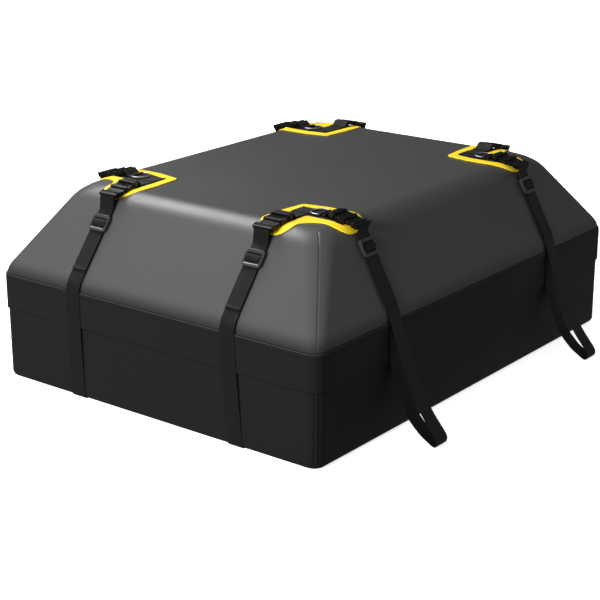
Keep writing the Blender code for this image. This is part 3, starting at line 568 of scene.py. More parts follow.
@dataclass(frozen=True)
class WovenWebbing:
    """Woven polyester webbing with ribs across it and a slight herringbone."""

    name: str
    colour: tuple[float, float, float]
    gloss: float = 0.42
    roughness: float = 0.72
    half_wide: float = 0.019
    rib: float = 0.0018
    twill: float = 0.0030
    yarn: float = 0.0022
    stitch_at: float = 0.0090

    def paint(self) -> Paint:
        """Make the webbing's material.

        Returns:
            The material.
        """
        paint = Paint(self.name, self.colour, self.roughness)
        across, along = paint.strip()
        lean = (across - self.half_wide).size()
        rib = ((along * 2 * math.pi / self.rib) + lean * 2 * math.pi / self.twill).wave()
        yarn = (across * 2 * math.pi / self.yarn).wave()
        shade = paint.noise(260.0, 3.0)
        light, dark = (tuple(c * k for c in self.colour) for k in (2.2, 0.25))
        tone = paint.mix((rib * 0.25 + 0.25) * shade, self.colour, light)
        # Painted shade: the first two millimetres of each strip darken toward black, standing in for the
        # shadow at its end.
        end_shade = 1 - along.fade(0.0010, 0.0024)
        stitch = 1 - (along - self.stitch_at).size().fade(0.0003, 0.0011)
        tone = paint.mix(stitch * 0.5, tone, light)
        paint.set("Base Color", paint.mix(end_shade * 0.8, tone, dark))
        paint.set("Roughness", shade * 0.15 + 0.62)
        paint.set("Specular IOR Level", self.gloss)
        paint.bump(rib * 0.00012 + yarn * 0.00006, 1.0, 0.9)
        return paint


@dataclass(frozen=True)
class BorderCloth:
    """Coated yellow border with a stitched line near each edge."""

    name: str
    colour: tuple[float, float, float]
    width: float
    stitch_in: float = 0.0028
    stitch_long: float = 0.0045
    thread: tuple[float, float, float] = (0.95, 0.68, 0.08)

    def paint(self) -> Paint:
        """Make the border's material.

        Returns:
            The material.
        """
        paint = Paint(self.name, self.colour, 0.46)
        across, along = paint.strip()
        near = (across - self.stitch_in).size().lesser((across - (self.width - self.stitch_in)).size())
        line = 1 - near.fade(0.0003, 0.0010)
        thread = line * (along / self.stitch_long).part().over(0.30)
        rolled_edge_shade = 1 - across.lesser(self.width - across).fade(0.0, 0.0012)
        shade_tone, soft = (tuple(c * k for c in self.colour) for k in (0.62, 0.93))
        tone = paint.mix(paint.noise(40.0).fade(0.3, 0.7) * 0.35, self.colour, soft)
        # Painted shade in the stitch grooves and along both rolled edges; the bump also sinks them.
        tone = paint.mix(line * 0.35, tone, shade_tone)
        tone = paint.mix(rolled_edge_shade * 0.4, tone, shade_tone)
        paint.set("Base Color", paint.mix(thread * 0.8, tone, self.thread))
        paint.set("Specular IOR Level", 0.4)
        grain = paint.noise(900.0, 2.0)
        paint.bump(thread * 0.0004 - line * 0.0004 - rolled_edge_shade * 0.0005 + grain * 0.00005, 1.0, 0.9)
        return paint


@dataclass(frozen=True)
class Moulded:
    """Moulded plastic, or a plain close cloth, with a faint texture."""

    name: str
    colour: tuple[float, float, float]
    roughness: float
    gloss: float = 0.5

    def paint(self) -> Paint:
        """Make the plastic's material.

        Returns:
            The material.
        """
        paint = Paint(self.name, self.colour, self.roughness)
        grain = paint.noise(1400.0, 2.0)
        cloudy = paint.noise(60.0)
        paint.set("Base Color", paint.mix(cloudy * 0.4, self.colour, tuple(c * 1.3 for c in self.colour)))
        paint.set("Roughness", cloudy * 0.12 + (self.roughness - 0.06))
        paint.set("Specular IOR Level", self.gloss)
        paint.bump(grain, 0.00004, 0.6)
        return paint


@dataclass(frozen=True)
class Plated:
    """Plated or cast metal with fine uneven gloss."""

    name: str
    colour: tuple[float, float, float]
    roughness: float

    def paint(self) -> Paint:
        """Make the metal's material.

        Returns:
            The material.
        """
        paint = Paint(self.name, self.colour, self.roughness, 1.0)
        cloudy = paint.noise(300.0)
        worn = tuple(c * 0.7 for c in self.colour)
        paint.set("Roughness", cloudy * 0.16 + (self.roughness - 0.08))
        paint.set("Base Color", paint.mix(cloudy.fade(0.35, 0.75) * 0.35, self.colour, worn))
        return paint


FINISHES = (
    # Painted light: the lid is the same black cloth as the base, given a grey about six times lighter to
    # stand in for the light on its slopes.
    CoatedCloth("lid_cloth", (0.046, 0.046, 0.0463), 0.42, 0.52, True),
    CoatedCloth("base_cloth", (0.0075, 0.0075, 0.0074), 0.50, 0.12, False),
    WovenWebbing("webbing", (0.0036, 0.0036, 0.0037)),
    BorderCloth("yellow_trim", (1.0, 0.70, 0.018), 0.021),
    Moulded("panel_cloth", (0.0075, 0.0075, 0.0080), 0.62),
    Moulded("buckle_plastic", (0.0026, 0.0026, 0.0028), 0.30, 0.16),
    Moulded("adjuster_plastic", (0.022, 0.022, 0.023), 0.30),
    Plated("ring_steel", (0.46, 0.46, 0.47), 0.36),
    Moulded("zip_cloth", (0.012, 0.012, 0.013), 0.80),
    Plated("zip_metal", (0.22, 0.22, 0.23), 0.35),
)


@dataclass
class Finishes:
    """Every finish of the bag, made once."""

    paints: dict[str, Paint] = field(
        default_factory=lambda: {finish.name: finish.paint() for finish in FINISHES})

    def put(self, item: bpy.types.Object, slot: str) -> bpy.types.Object:
        """Give an object its finish and name its slot.

        Args:
            item: the object.
            slot: the finish's name.

        Returns:
            The same object.
        """
        item.data.materials.clear()
        item.data.materials.append(self.paints[slot].material)
        return item


def new_object(name: str, data: bpy.types.ID) -> bpy.types.Object:
    """Object of a mesh, light or camera, linked to the scene.

    Args:
        name: its name.
        data: what it shows.

    Returns:
        The object.
    """
    item = bpy.data.objects.new(name, data)
    bpy.context.scene.collection.objects.link(item)
    return item


class Workpiece:
    """One mesh that is shaped in edit mode with Blender's own tools."""

    def __init__(self, name: str) -> None:
        """Open an empty mesh in edit mode.

        Args:
            name: the new object's name.
        """
        bpy.ops.object.select_all(action="DESELECT")
        self.item = new_object(name, bpy.data.meshes.new(name))
        bpy.context.view_layer.objects.active = self.item
        self.item.select_set(True)
        bpy.ops.object.mode_set(mode="EDIT")

    def rounded_ring(self, half_x: float, half_y: float, radius: float, z: float, steps: int) -> None:
        """Add a level loop with rounded corners.

        Args:
            half_x: half of its width.
            half_y: half of its length.
            radius: its corners' radius.
            z: its height.
            steps: how many edges a corner has.
        """
        bpy.ops.mesh.select_all(action="DESELECT")
        bpy.ops.mesh.primitive_plane_add(size=2.0, location=(0.0, 0.0, z))
        bpy.ops.transform.resize(value=(half_x, half_y, 1.0))
        bpy.ops.mesh.bevel(offset=radius, offset_type="OFFSET", segments=steps, affect="VERTICES")
        bpy.ops.mesh.delete(type="ONLY_FACE")

    def bridge(self) -> None:
        """Join all the loops with faces, one to the next."""
        bpy.ops.mesh.select_all(action="SELECT")
        bpy.ops.mesh.bridge_edge_loops(type="SINGLE")

    def cap(self, inside: Callable[[Vector], bool]) -> None:
        """Close the open loop whose points answer a test, with an inset margin.

        Args:
            inside: the test.
        """
        self.select(inside)
        bpy.ops.mesh.edge_face_add()
        bpy.ops.mesh.inset(thickness=0.01)

    def select(self, inside: Callable[[Vector], bool]) -> None:
        """Select only the points that answer a test.

        Args:
            inside: the test.
        """
        bpy.ops.mesh.select_mode(type="VERT")
        bpy.ops.mesh.select_all(action="DESELECT")
        work = bmesh.from_edit_mesh(self.item.data)
        for point in work.verts:
            point.select = inside(point.co)
        work.select_flush(True)
        bmesh.update_edit_mesh(self.item.data)

    def sheet(self, spots: Sequence[Sequence[float]]) -> None:
        """Add one flat face that looks up.

        Args:
            spots: the face's points, in order.
        """
        work = bmesh.from_edit_mesh(self.item.data)
        face = work.faces.new([work.verts.new(spot) for spot in spots])
        face.normal_update()
        if face.normal.z < 0:
            face.normal_flip()
        bmesh.update_edit_mesh(self.item.data)

    def strip(self, start: Sequence[Vector], moves: Iterable[Vector]) -> None:
        """Lay a row of points and draw it out step by step into a strip.

        Args:
            start: the row of points.
            moves: the way of each step.
        """
        mesh = self.item.data
        work = bmesh.from_edit_mesh(mesh)
        for point in work.verts:
            point.select = False
        row = [work.verts.new(p) for p in start]
        for first, second in zip(row, row[1:]):
            work.edges.new((first, second))
        for point in row:
            point.select = True
        work.select_flush(True)
        bmesh.update_edit_mesh(mesh)
        bpy.ops.mesh.select_mode(type="EDGE")
        for move in moves:
            bpy.ops.mesh.extrude_edges_move(TRANSFORM_OT_translate={"value": tuple(move)})

    def done(self, sharp: float = 40.0) -> bpy.types.Object:
        """Close edit mode with the faces turned out and the shading smooth.

        Args:
            sharp: the angle in degrees above which an edge stays sharp.

        Returns:
            The finished object.
        """
        bpy.ops.mesh.select_mode(type="VERT")
        bpy.ops.mesh.select_all(action="SELECT")
        bpy.ops.mesh.normals_make_consistent(inside=False)
        bpy.ops.object.mode_set(mode="OBJECT")
        bpy.ops.object.shade_smooth_by_angle(angle=math.radians(sharp))
        return self.item


def thicken(item: bpy.types.Object, skin: float, offset: float) -> bpy.types.Object:
    """Turn a surface into a wall.

    Args:
        item: the object.
        skin: the wall's thickness.
        offset: -1 to grow inward, 1 to grow outward.

    Returns:
        The same object.
    """
    wall = item.modifiers.new("wall", "SOLIDIFY")
    wall.thickness = skin
    wall.offset = offset
    wall.use_even_offset = True
    apply_all(item)
    bpy.ops.object.shade_smooth_by_angle(angle=math.radians(40))
    return item


def apply_all(item: bpy.types.Object) -> None:
    """Apply every modifier of an object.

    Args:
        item: the object.
    """
    bpy.ops.object.select_all(action="DESELECT")
    bpy.context.view_layer.objects.active = item
    item.select_set(True)
    for name in [m.name for m in item.modifiers]:
        bpy.ops.object.modifier_apply(modifier=name)


def map_strip(item: bpy.types.Object, across: Callable[[int], float],
              along: Callable[[int], float]) -> None:
    """Give each point its metres across and along, as the mesh's map.

    Args:
        item: the object.
        across: gives a point's metres across, by its number.
        along: gives its metres along.
    """
    mesh = item.data
    chart = mesh.uv_layers.new(name="strip")
    for corner in mesh.loops:
        index = corner.vertex_index
        chart.data[corner.index].uv = (across(index), along(index))


@dataclass
class Shells:
    """The bag's cloth body: lid, tub and storm flap."""

    finishes: Finishes
    steps: int = 8
    rim_z: float = 0.213
    lid_foot_z: float = 0.222
    floor_in: float = 0.010
    floor_round: float = 0.008
    tub_levels: Plan = (0.06, 0.12)
    tub_rim_z: float = 0.197
    skin: float = 0.0024
    flap_low_z: float = 0.160
    flap_top_z: float = 0.2388
    flap_bend_z: float = 0.2311
    flap_proud: float = 0.0034
    flap_skin: float = 0.0010

    def ring_at(self, work: Workpiece, z: float, proud: float = 0.0) -> None:
        """Add the bag's outline at a height, a little proud of its skin.

        Args:
            work: the mesh in work.
            z: the height.
            proud: how far outside the skin.
        """
        half_x = BAG.reach(BAG.half_x, BAG.inset_x, z) + proud
        half_y = BAG.reach(BAG.half_y, BAG.inset_y, z) + proud
        work.rounded_ring(half_x, half_y, BAG.corner(z) + proud, z, self.steps)

    def lid(self) -> bpy.types.Object:
        """Tapered upper shell with its rounded knee and crown.

        Returns:
            The lid.
        """
        turn = BAG.slope_turn(BAG.inset_y)
        bend = math.pi / 2 - turn
        knee_low = BAG.knee_z - BAG.knee_round * math.tan(bend / 2)
        levels = [self.rim_z, self.lid_foot_z]
        levels += [knee_low + BAG.knee_round * math.sin(bend * k / 8) for k in range(9)]
        crown_low = BAG.height - BAG.top_round * (1 - math.cos(turn))
        levels += [levels[-1] + (crown_low - levels[-1]) * k / 5 for k in range(1, 5)]
        levels += [BAG.height - BAG.top_round * (1 - math.cos(turn * k / 12)) for k in range(13, 0, -1)]
        levels.append(BAG.height)
        work = Workpiece("lid_shell")
        for z in levels:
            self.ring_at(work, z)
        work.bridge()
        work.cap(lambda p: p.z > BAG.height - 1e-6)
        item = thicken(work.done(), self.skin, -1.0)
        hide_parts("lid")
        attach(item, "bag")
        return self.finishes.put(item, "lid_cloth")

    def tub(self) -> bpy.types.Object:
        """Lower shell with a softly rounded bottom edge.

        Returns:
            The tub.
        """
        low = [BAG.base_round * (1 - math.cos(math.radians(a))) for a in (2, 15, 30, 45, 60, 75)]
        work = Workpiece("tub_shell")
        first = BAG.reach(BAG.half_x, BAG.inset_x, low[0]), BAG.reach(BAG.half_y, BAG.inset_y, low[0])
        floor = [reach - self.floor_in for reach in first]
        work.rounded_ring(floor[0], floor[1], self.floor_round, 0.0, self.steps)
        for z in low:
            half_x = BAG.reach(BAG.half_x, BAG.inset_x, z)
            half_y = BAG.reach(BAG.half_y, BAG.inset_y, z)
            radius = BAG.wall_corner - (BAG.half_x - half_x)
            work.rounded_ring(half_x, half_y, radius, z, self.steps)
        for z in (BAG.base_round, *self.tub_levels, self.tub_rim_z):
            self.ring_at(work, z)
        work.bridge()
        work.cap(lambda p: p.z < 1e-6)
        item = thicken(work.done(), self.skin, -1.0)
        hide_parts("base_tub")
        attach(item, "bag")
        return self.finishes.put(item, "base_cloth")

    def flap(self) -> bpy.types.Object:
        """Skirt that hangs from the lid's seam over the zip.

        Returns:
            The flap.
        """
        work = Workpiece("storm_flap_skirt")
        proud = self.flap_proud
        outline = [(self.flap_low_z, proud), (0.185, proud), (0.210, proud), (self.flap_bend_z, proud),
                   (self.flap_top_z - 0.0012, proud - 0.0008), (self.flap_top_z - 0.0003, proud - 0.0011),
                   (self.flap_top_z, proud - 0.0018), (self.flap_top_z - 0.0001, proud - 0.0030)]
        for z, out in outline:
            work.rounded_ring(BAG.half_x + out, BAG.half_y + out, BAG.wall_corner + out, z, self.steps)
        work.bridge()
        item = thicken(work.done(), self.flap_skin, -1.0)
        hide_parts("storm_flap")
        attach(item, "bag")
        return self.finishes.put(item, "base_cloth")

    def build(self) -> None:
        """Make the three shells."""
        for item in (self.lid(), self.tub(), self.flap()):
            log.info("made %s", item.name)


def offset_corner(before: Vector, here: Vector, after: Vector, distance: float) -> Vector:
    """Corner of a line moved to its right, with mitred sides.

    Args:
        before: the corner before.
        here: the corner.
        after: the corner after.
        distance: how far to the right.

    Returns:
        The moved corner.
    """
    first = (here - before).normalized()
    second = (after - here).normalized()
    right_first = Vector((first.y, -first.x))
    right_second = Vector((second.y, -second.x))
    return here + (right_first + right_second) * distance / (1.0 + right_first.dot(right_second))


def rounded(corners: Sequence[Vector], radii: Sequence[float], steps: int) -> list[Vector]:
    """Closed outline with some of its corners rounded.

    Args:
        corners: the outline's corners.
        radii: the radius at each corner, nothing where it stays sharp.
        steps: how many pieces an arc has.

    Returns:
        The outline's points.
    """
    out = []
    for i, here in enumerate(corners):
        back, ahead = corners[i - 1], corners[(i + 1) % len(corners)]
        if not radii[i]:
            out.append(here.copy())
            continue
        to_back = (back - here).normalized()
        to_ahead = (ahead - here).normalized()
        half = math.acos(max(-1.0, min(1.0, to_back.dot(to_ahead)))) / 2
        centre = here + (to_back + to_ahead).normalized() * radii[i] / math.sin(half)
        start = here + to_back * radii[i] / math.tan(half) - centre
        end = here + to_ahead * radii[i] / math.tan(half) - centre
        first = math.atan2(start.y, start.x)
        turn = (math.atan2(end.y, end.x) - first + math.pi) % (2 * math.pi) - math.pi
        for k in range(steps + 1):
            angle = first + turn * k / steps
            out.append(centre + Vector((math.cos(angle), math.sin(angle))) * radii[i])
    return out


def resample(outline: Sequence[Vector], count: int) -> list[Vector]:
    """Closed outline as evenly spaced points.

    Args:
        outline: the outline.
        count: how many points it gets.

    Returns:
        The points.
    """
    loop = [*outline, outline[0]]
    lengths = [0.0]
    for first, second in zip(loop, loop[1:]):
        lengths.append(lengths[-1] + (second - first).length)
    out, place = [], 0
    for k in range(count):
        want = lengths[-1] * k / count
        while lengths[place + 1] < want:
            place += 1
        share = (want - lengths[place]) / max(lengths[place + 1] - lengths[place], 1e-9)
        out.append(loop[place].lerp(loop[place + 1], share))
    return out


@dataclass
class CornerPatch:
    """Yellow-edged patch that is sewn over a corner of the lid."""

    finishes: Finishes
    corner: Corner
    tip: Plan = (0.1735, 0.2735)
    inner: Plan = (0.1665, 0.2620)
    outer: Plan = (0.2560, 0.3640)
    end: Plan = (0.3430, 0.4415)
    waist: Plan = (0.2350, 0.3450)
    tip_round: float = 0.012
    end_round: float = 0.031
    far_round: float = 0.054
    concave: float = 0.045
    border: float = 0.021
    seat: float = 0.0003
    border_skin: float = 0.0018
    panel_skin: float = 0.0015
    rows: int = 7
    count: int = 220
    cuts: tuple[Plan, Plan] = ((0.16, 0.35), (0.26, 0.45))
    cut_step: float = 0.009

    def outline(self, margin: float) -> list[Vector]:
        """Outline in plan, drawn inward by a margin.

        Args:
            margin: how far inward.

        Returns:
            The outline's points.
        """
        raw = [self.tip, (self.waist[0], self.inner[1]), (self.end[0], self.inner[1]),
               (self.end[0], self.outer[1]), (self.outer[0], self.outer[1]), (self.outer[0], self.end[1]),
               (self.inner[0], self.end[1]), (self.inner[0], self.waist[1])]
        spots = [Vector(p) for p in raw]
        count = len(spots)
        moved = [offset_corner(spots[i - 1], spots[i], spots[(i + 1) % count], -margin) for i in range(count)]
        convex = max(self.end_round - margin, 0.004)
        tip = max(self.tip_round - margin, 0.0012)
        inward = max(self.concave - 2 * margin, 0.004)
        far = max(self.far_round - margin, 0.006)
        radii = [tip, 0.0, far, convex, inward, convex, far, 0.0]
        return rounded(moved, radii, 10)

    def signs(self) -> tuple[int, int]:
        """Signs of X and Y at this corner."""
        return self.corner.value

    def lay(self, item: bpy.types.Object, lift: float) -> None:
        """Drape a flat sheet on the lid, and turn it to this corner.

        Args:
            item: the sheet.
            lift: how far off the lid.
        """
        sign_x, sign_y = self.signs()
        for point in item.data.vertices:
            spot = BAG.drape(point.co.x, point.co.y, lift)
            point.co = (sign_x * spot.x, sign_y * spot.y, spot.z)

    def finish_sheet(self, item: bpy.types.Object, skin: float, slot: str, node: str) -> bpy.types.Object:
        """Turn a draped sheet into cloth that rides on the bag.

        Args:
            item: the sheet.
            skin: its thickness.
            slot: its finish's name.
            node: the solid that it replaces.

        Returns:
            The same object.
        """
        sign_x, sign_y = self.signs()
        if sign_x * sign_y < 0:
            item.data.flip_normals()
        thicken(item, skin, 1.0)
        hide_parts(node)
        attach(item, "bag")
        self.finishes.put(item, slot)
        log.info("made %s", item.name)
        return item

    def belt(self) -> bpy.types.Object:
        """Yellow border: a belt of even width with its own map across and along.

        Returns:
            The border.
        """
        name, count = self.corner.name, self.count
        lines = [resample(self.outline(self.border * k / self.rows), count) for k in range(self.rows + 1)]
        start = lines[0]
        work = bmesh.new()
        rows = []
        for line in lines:
            shift = min(range(count), key=lambda i: (line[i] - start[0]).length)
            turned = line[shift:] + line[:shift]
            rows.append([work.verts.new((p.x, p.y, 0.0)) for p in turned])
        for near, far in zip(rows, rows[1:]):
            for i in range(count):
                k = (i + 1) % count
                work.faces.new((near[i], near[k], far[k], far[i]))
        mesh = bpy.data.meshes.new(f"patch_border_{name}")
        bmesh.ops.recalc_face_normals(work, faces=work.faces)
        if sum(f.normal.z for f in work.faces) < 0:
            bmesh.ops.reverse_faces(work, faces=work.faces)
        work.to_mesh(mesh)
        work.free()
        item = new_object(mesh.name, mesh)
        length = sum((start[i] - start[i - 1]).length for i in range(count))
        map_strip(item, lambda i: self.border * (i // count) / self.rows,
                  lambda i: length * (i % count) / count)
        self.lay(item, self.seat)
        return self.finish_sheet(item, self.border_skin, "yellow_trim", f"corner_border_{name}")

    def panel(self) -> bpy.types.Object:
        """Black panel inside the border.

        Returns:
            The panel.
        """
        name = self.corner.name
        work = Workpiece(f"patch_panel_{name}")
        work.sheet([(p.x, p.y, 0.0) for p in self.outline(self.border + self.seat)])
        for axis, (place, high) in enumerate(self.cuts):
            while place < high:
                spot, normal = [0.0, 0.0, 0.0], [0.0, 0.0, 0.0]
                spot[axis], normal[axis] = place, 1.0
                bpy.ops.mesh.select_all(action="SELECT")
                bpy.ops.mesh.bisect(plane_co=spot, plane_no=normal, threshold=0.00002)
                place += self.cut_step
        bpy.ops.object.mode_set(mode="OBJECT")
        self.lay(work.item, self.seat)
        return self.finish_sheet(work.item, self.panel_skin, "panel_cloth", f"corner_panel_{name}")

    def build(self) -> None:
        """Make the border and the panel."""
        self.belt()
        self.panel()


def arc(along: float, up: float, reach: float, angles: Sequence[float]) -> list[Plan]:
    """Places round a middle, at angles in degrees.

    Args:
        along: the middle's first measure.
        up: the middle's second measure.
        reach: the radius.
        angles: the angles.

    Returns:
        The places.
    """
    turns = [math.radians(angle) for angle in angles]
    return [(along + reach * math.cos(turn), up + reach * math.sin(turn)) for turn in turns]


def curve_through(points: Sequence[Vector], step: float) -> list[Vector]:
    """Smooth line through points, with no overshoot where their spacing changes.

    Args:
        points: the places it passes through.
        step: about how far apart its own points are.

    Returns:
        The line's points.
    """
    spots = [points[0] * 2 - points[1], *points, points[-1] * 2 - points[-2]]
    out = [points[0].copy()]
    for i in range(1, len(spots) - 2):
        four = spots[i - 1:i + 3]
        times = [0.0]
        for first, second in zip(four, four[1:]):
            times.append(times[-1] + max((second - first).length, 1e-7) ** 0.5)
        pieces = max(2, math.ceil((four[2] - four[1]).length / step))
        for k in range(1, pieces + 1):
            when = times[1] + (times[2] - times[1]) * k / pieces
            level = list(four)
            spans = [(0, 1), (1, 2), (2, 3)], [(0, 2), (1, 3)], [(1, 2)]
            for pairs in spans:
                level = [
                    level[n].lerp(level[n + 1], (when - times[a]) / (times[b] - times[a]))
                    for n, (a, b) in enumerate(pairs)
                ]
            out.append(level[0])
    return out


@dataclass
class WebbingStrip:
    """Flat woven strip that follows a line down one face of the bag."""

    name: str
    side: Side
    corner: Corner
    width: float = 0.038
    skin: float = 0.0013
    columns: int = 6
    end_strap_x: float = 0.2105
    side_strap_y: float = 0.3135

    def put(self, spot: Vector, across: float) -> Vector:
        """Place of (outward, z) and a sideways shift, in the bag's frame.

        Args:
            spot: the place.
            across: the sideways shift.

        Returns:
            The point in the bag's frame.
        """
        sign_x, sign_y = self.corner.value
        if self.side is Side.END:
            return Vector((sign_x * (self.end_strap_x + across), sign_y * spot.x, spot.y))
        return Vector((sign_x * spot.x, sign_y * (self.side_strap_y + across), spot.y))

    def lay(self, line: Sequence[Vector],
            shift: Callable[[Vector], float] = lambda spot: 0.0) -> bpy.types.Object:
        """Draw the strip along a line and give it thickness and its map.

        Args:
            line: the strip's middle, as (outward, z).
            shift: how far it stands to the side at each place.

        Returns:
            The strip.
        """
        half = self.width / 2
        steps = [half * (2 * k / (self.columns - 1) - 1) for k in range(self.columns)]
        rows = [self.put(spot, shift(spot)) for spot in line]
        work = Workpiece(self.name)
        start = [self.put(line[0], shift(line[0]) + w) for w in steps]
        work.strip(start, [b - a for a, b in zip(rows, rows[1:])])
        bpy.ops.object.mode_set(mode="OBJECT")
        item = work.item
        runs = [0.0]
        for first, second in zip(rows, rows[1:]):
            runs.append(runs[-1] + (second - first).length)
        axis = Vector((1.0, 0.0, 0.0)) if self.side is Side.END else Vector((0.0, 1.0, 0.0))
        places = [p.co.copy() for p in item.data.vertices]
        map_strip(item, lambda i: (places[i] - rows[i // self.columns]).dot(axis) + half,
                  lambda i: runs[i // self.columns])
        thicken(item, self.skin, 0.0)
        edge = item.modifiers.new("selvedge", "BEVEL")
        edge.width = self.skin * 0.3
        edge.segments = 2
        edge.limit_method = "ANGLE"
        edge.angle_limit = math.radians(60)
        apply_all(item)
        bpy.ops.object.shade_smooth_by_angle(angle=math.radians(50))
        return item


@dataclass
class Strap:
    """Webbing from a buckle's plug down to the floor, or out into a hanging loop."""

    finishes: Finishes
    side: Side
    corner: Corner
    drift: float = 0.0
    lift: float = 0.0037
    skin: float = 0.0013
    plug_end: float = 0.042
    bar_long: float = 0.0065
    bar_low: float = 0.0027
    bar_high: float = 0.0066
    wrap_gap: float = 0.0003
    end_adjuster: float = 0.0796
    side_adjuster: float = 0.0560
    adjuster_long: float = 0.036
    stitched_at: float = 0.1889
    side_stitched_at: float = 0.180
    before_adjuster: float = 0.006
    after_turn: float = 0.008
    overlap_steps: int = 9
    end_fixed_at: float = 0.060
    side_fixed_at: float = 0.033
    hem_z: Plan = (0.2288, 0.2760)
    wall_z: tuple[float, ...] = (0.215, 0.19, 0.165, 0.150)
    snug: float = 0.0010
    snug_z: float = 0.022
    snug_tall: float = 0.128
    foot_round: float = 0.0065
    foot_low: float = 0.00095
    under_run: float = 0.180
    end_curl: float = 1.4
    curl_long: float = 0.0045

    def label(self) -> str:
        """Strap's name by its face and corner."""
        end, side = self.corner.name.split("_")
        return f"{end}_{side}" if self.side is Side.END else f"{side}_{end}"

    def turn(self) -> list[Vector]:
        """Places round the plug's end bar, from above it to below it.

        Returns:
            The places, as (outward, z).
        """
        reach = self.skin / 2 + self.wrap_gap
        start, end = self.plug_end - self.bar_long, self.plug_end
        places = [(end + 0.0030, self.bar_high + reach * 0.55), (end, self.bar_high + reach)]
        places += arc(start, self.bar_high, reach, (100, 130, 160))
        places += arc(start, self.bar_low, reach, (200, 230, 260))
        places += [(end, self.bar_low - reach), (end + 0.0030, self.bar_low - reach * 0.9)]
        return [BAG.over_edge(self.side, along, up) for along, up in places]

    def slope_line(self, stations: Sequence[float], layer: int) -> list[Vector]:
        """Places down the slope in the lower (0) or the upper (1) layer."""
        lift = self.lift + self.skin * (layer + 0.5) + (0.00004 if layer else -0.00004)
        return [BAG.slope(self.side, station, lift) for station in stations]

    def sideways(self, spot: Vector) -> float:
        """Drift to the side, which grows below the stitched end."""
        share = max(0.0, min(1.0, (0.279 - spot.y) / 0.275))
        return self.drift * self.corner.value[0] * share

    def line(self) -> list[Vector]:
        """Whole middle line, from the stitched end round the bar and down.

        Returns:
            The line's points, as (outward, z).
        """
        half, _ = BAG.face(self.side)
        middle = self.end_adjuster if self.side is Side.END else self.side_adjuster
        near = middle - self.adjuster_long / 2 - self.before_adjuster
        last = self.stitched_at if self.side is Side.END else self.side_stitched_at
        count = self.overlap_steps
        run = [near + (last - near) * k / count for k in range(count + 1)]
        upper = self.slope_line([near - self.after_turn, *run[:-1], last - self.curl_long, last], 1)
        lower = self.slope_line([near - self.after_turn, *run], 0)
        upper[-1] = upper[-1] + (upper[-1] - lower[-1]) * self.end_curl
        points = list(reversed(upper)) + self.turn() + lower
        if self.side is Side.LONG:
            return curve_through(points, 0.004) + self.loop(half, points[-1])
        thin = self.lift + self.skin / 2
        points += BAG.around(self.side, thin, *self.hem_z)
        points += [Vector((half + thin, z)) for z in self.wall_z]
        for share in (0.75, 0.5, 0.25, 0.0):
            out = half + self.snug + (thin - self.snug) * share
            points.append(Vector((out, self.snug_z + self.snug_tall * share)))
        reach, low = self.foot_round, self.foot_low
        centre = Vector((half + low - reach, low + reach))
        quarter = (0, 0.39, 0.79, 1.18, 1.5708)
        points += [centre + Vector((math.cos(a), -math.sin(a))) * reach for a in quarter]
        points += [Vector((half - 0.06, low)), Vector((half - self.under_run, low))]
        return curve_through(points, 0.006)

    def loop(self, half: float, start: Vector) -> list[Vector]:
        """Hanging loop of a side strap, down to the ground and back up behind.

        Args:
            half: half of the bag's width there.
            start: where the loop leaves the slope.

        Returns:
            The loop's points, as (outward, z).
        """
        out = ((0.0062, 0.2370), (0.0200, 0.1940), (0.0462, 0.1350), (0.0788, 0.0700), (0.1020, 0.0400),
               (0.1160, 0.0236), (0.1208, 0.0146), (0.1195, 0.0056), (0.1130, 0.0020))
        back = ((0.0990, 0.0092), (0.0803, 0.0206), (0.0684, 0.0309), (0.0570, 0.0422), (0.0480, 0.0530),
                (0.0313, 0.0880), (0.0150, 0.1240), (0.0066, 0.1560), (0.0046, 0.1900), (0.0046, 0.2280))
        return curve_through([start] + [Vector((half + a, z)) for a, z in out + back], 0.008)[1:]

    def build(self) -> bpy.types.Object:
        """Make the strap.

        Returns:
            The strap.
        """
        name = self.label()
        strip = WebbingStrip(f"strap_webbing_{name}", self.side, self.corner)
        item = strip.lay(self.line(), self.sideways)
        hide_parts(f"strap_{name}")
        fixed_at = self.end_fixed_at if self.side is Side.END else self.side_fixed_at
        fixed = strip.put(BAG.slope(self.side, fixed_at, self.lift), 0.0)
        moving = strip.put(BAG.over_edge(self.side, self.plug_end + 0.0015, 0.004), 0.0)
        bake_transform(item)
        self.finishes.put(item, "webbing")
        log.info("made %s", item.name)
        return item


def join(items: Sequence[bpy.types.Object]) -> bpy.types.Object:
    """Join objects into the first one.

    Args:
        items: the objects.

    Returns:
        The joined object.
    """
    bpy.ops.object.select_all(action="DESELECT")
    for item in items:
        item.select_set(True)
    bpy.context.view_layer.objects.active = items[0]
    bpy.ops.object.join()
    return items[0]


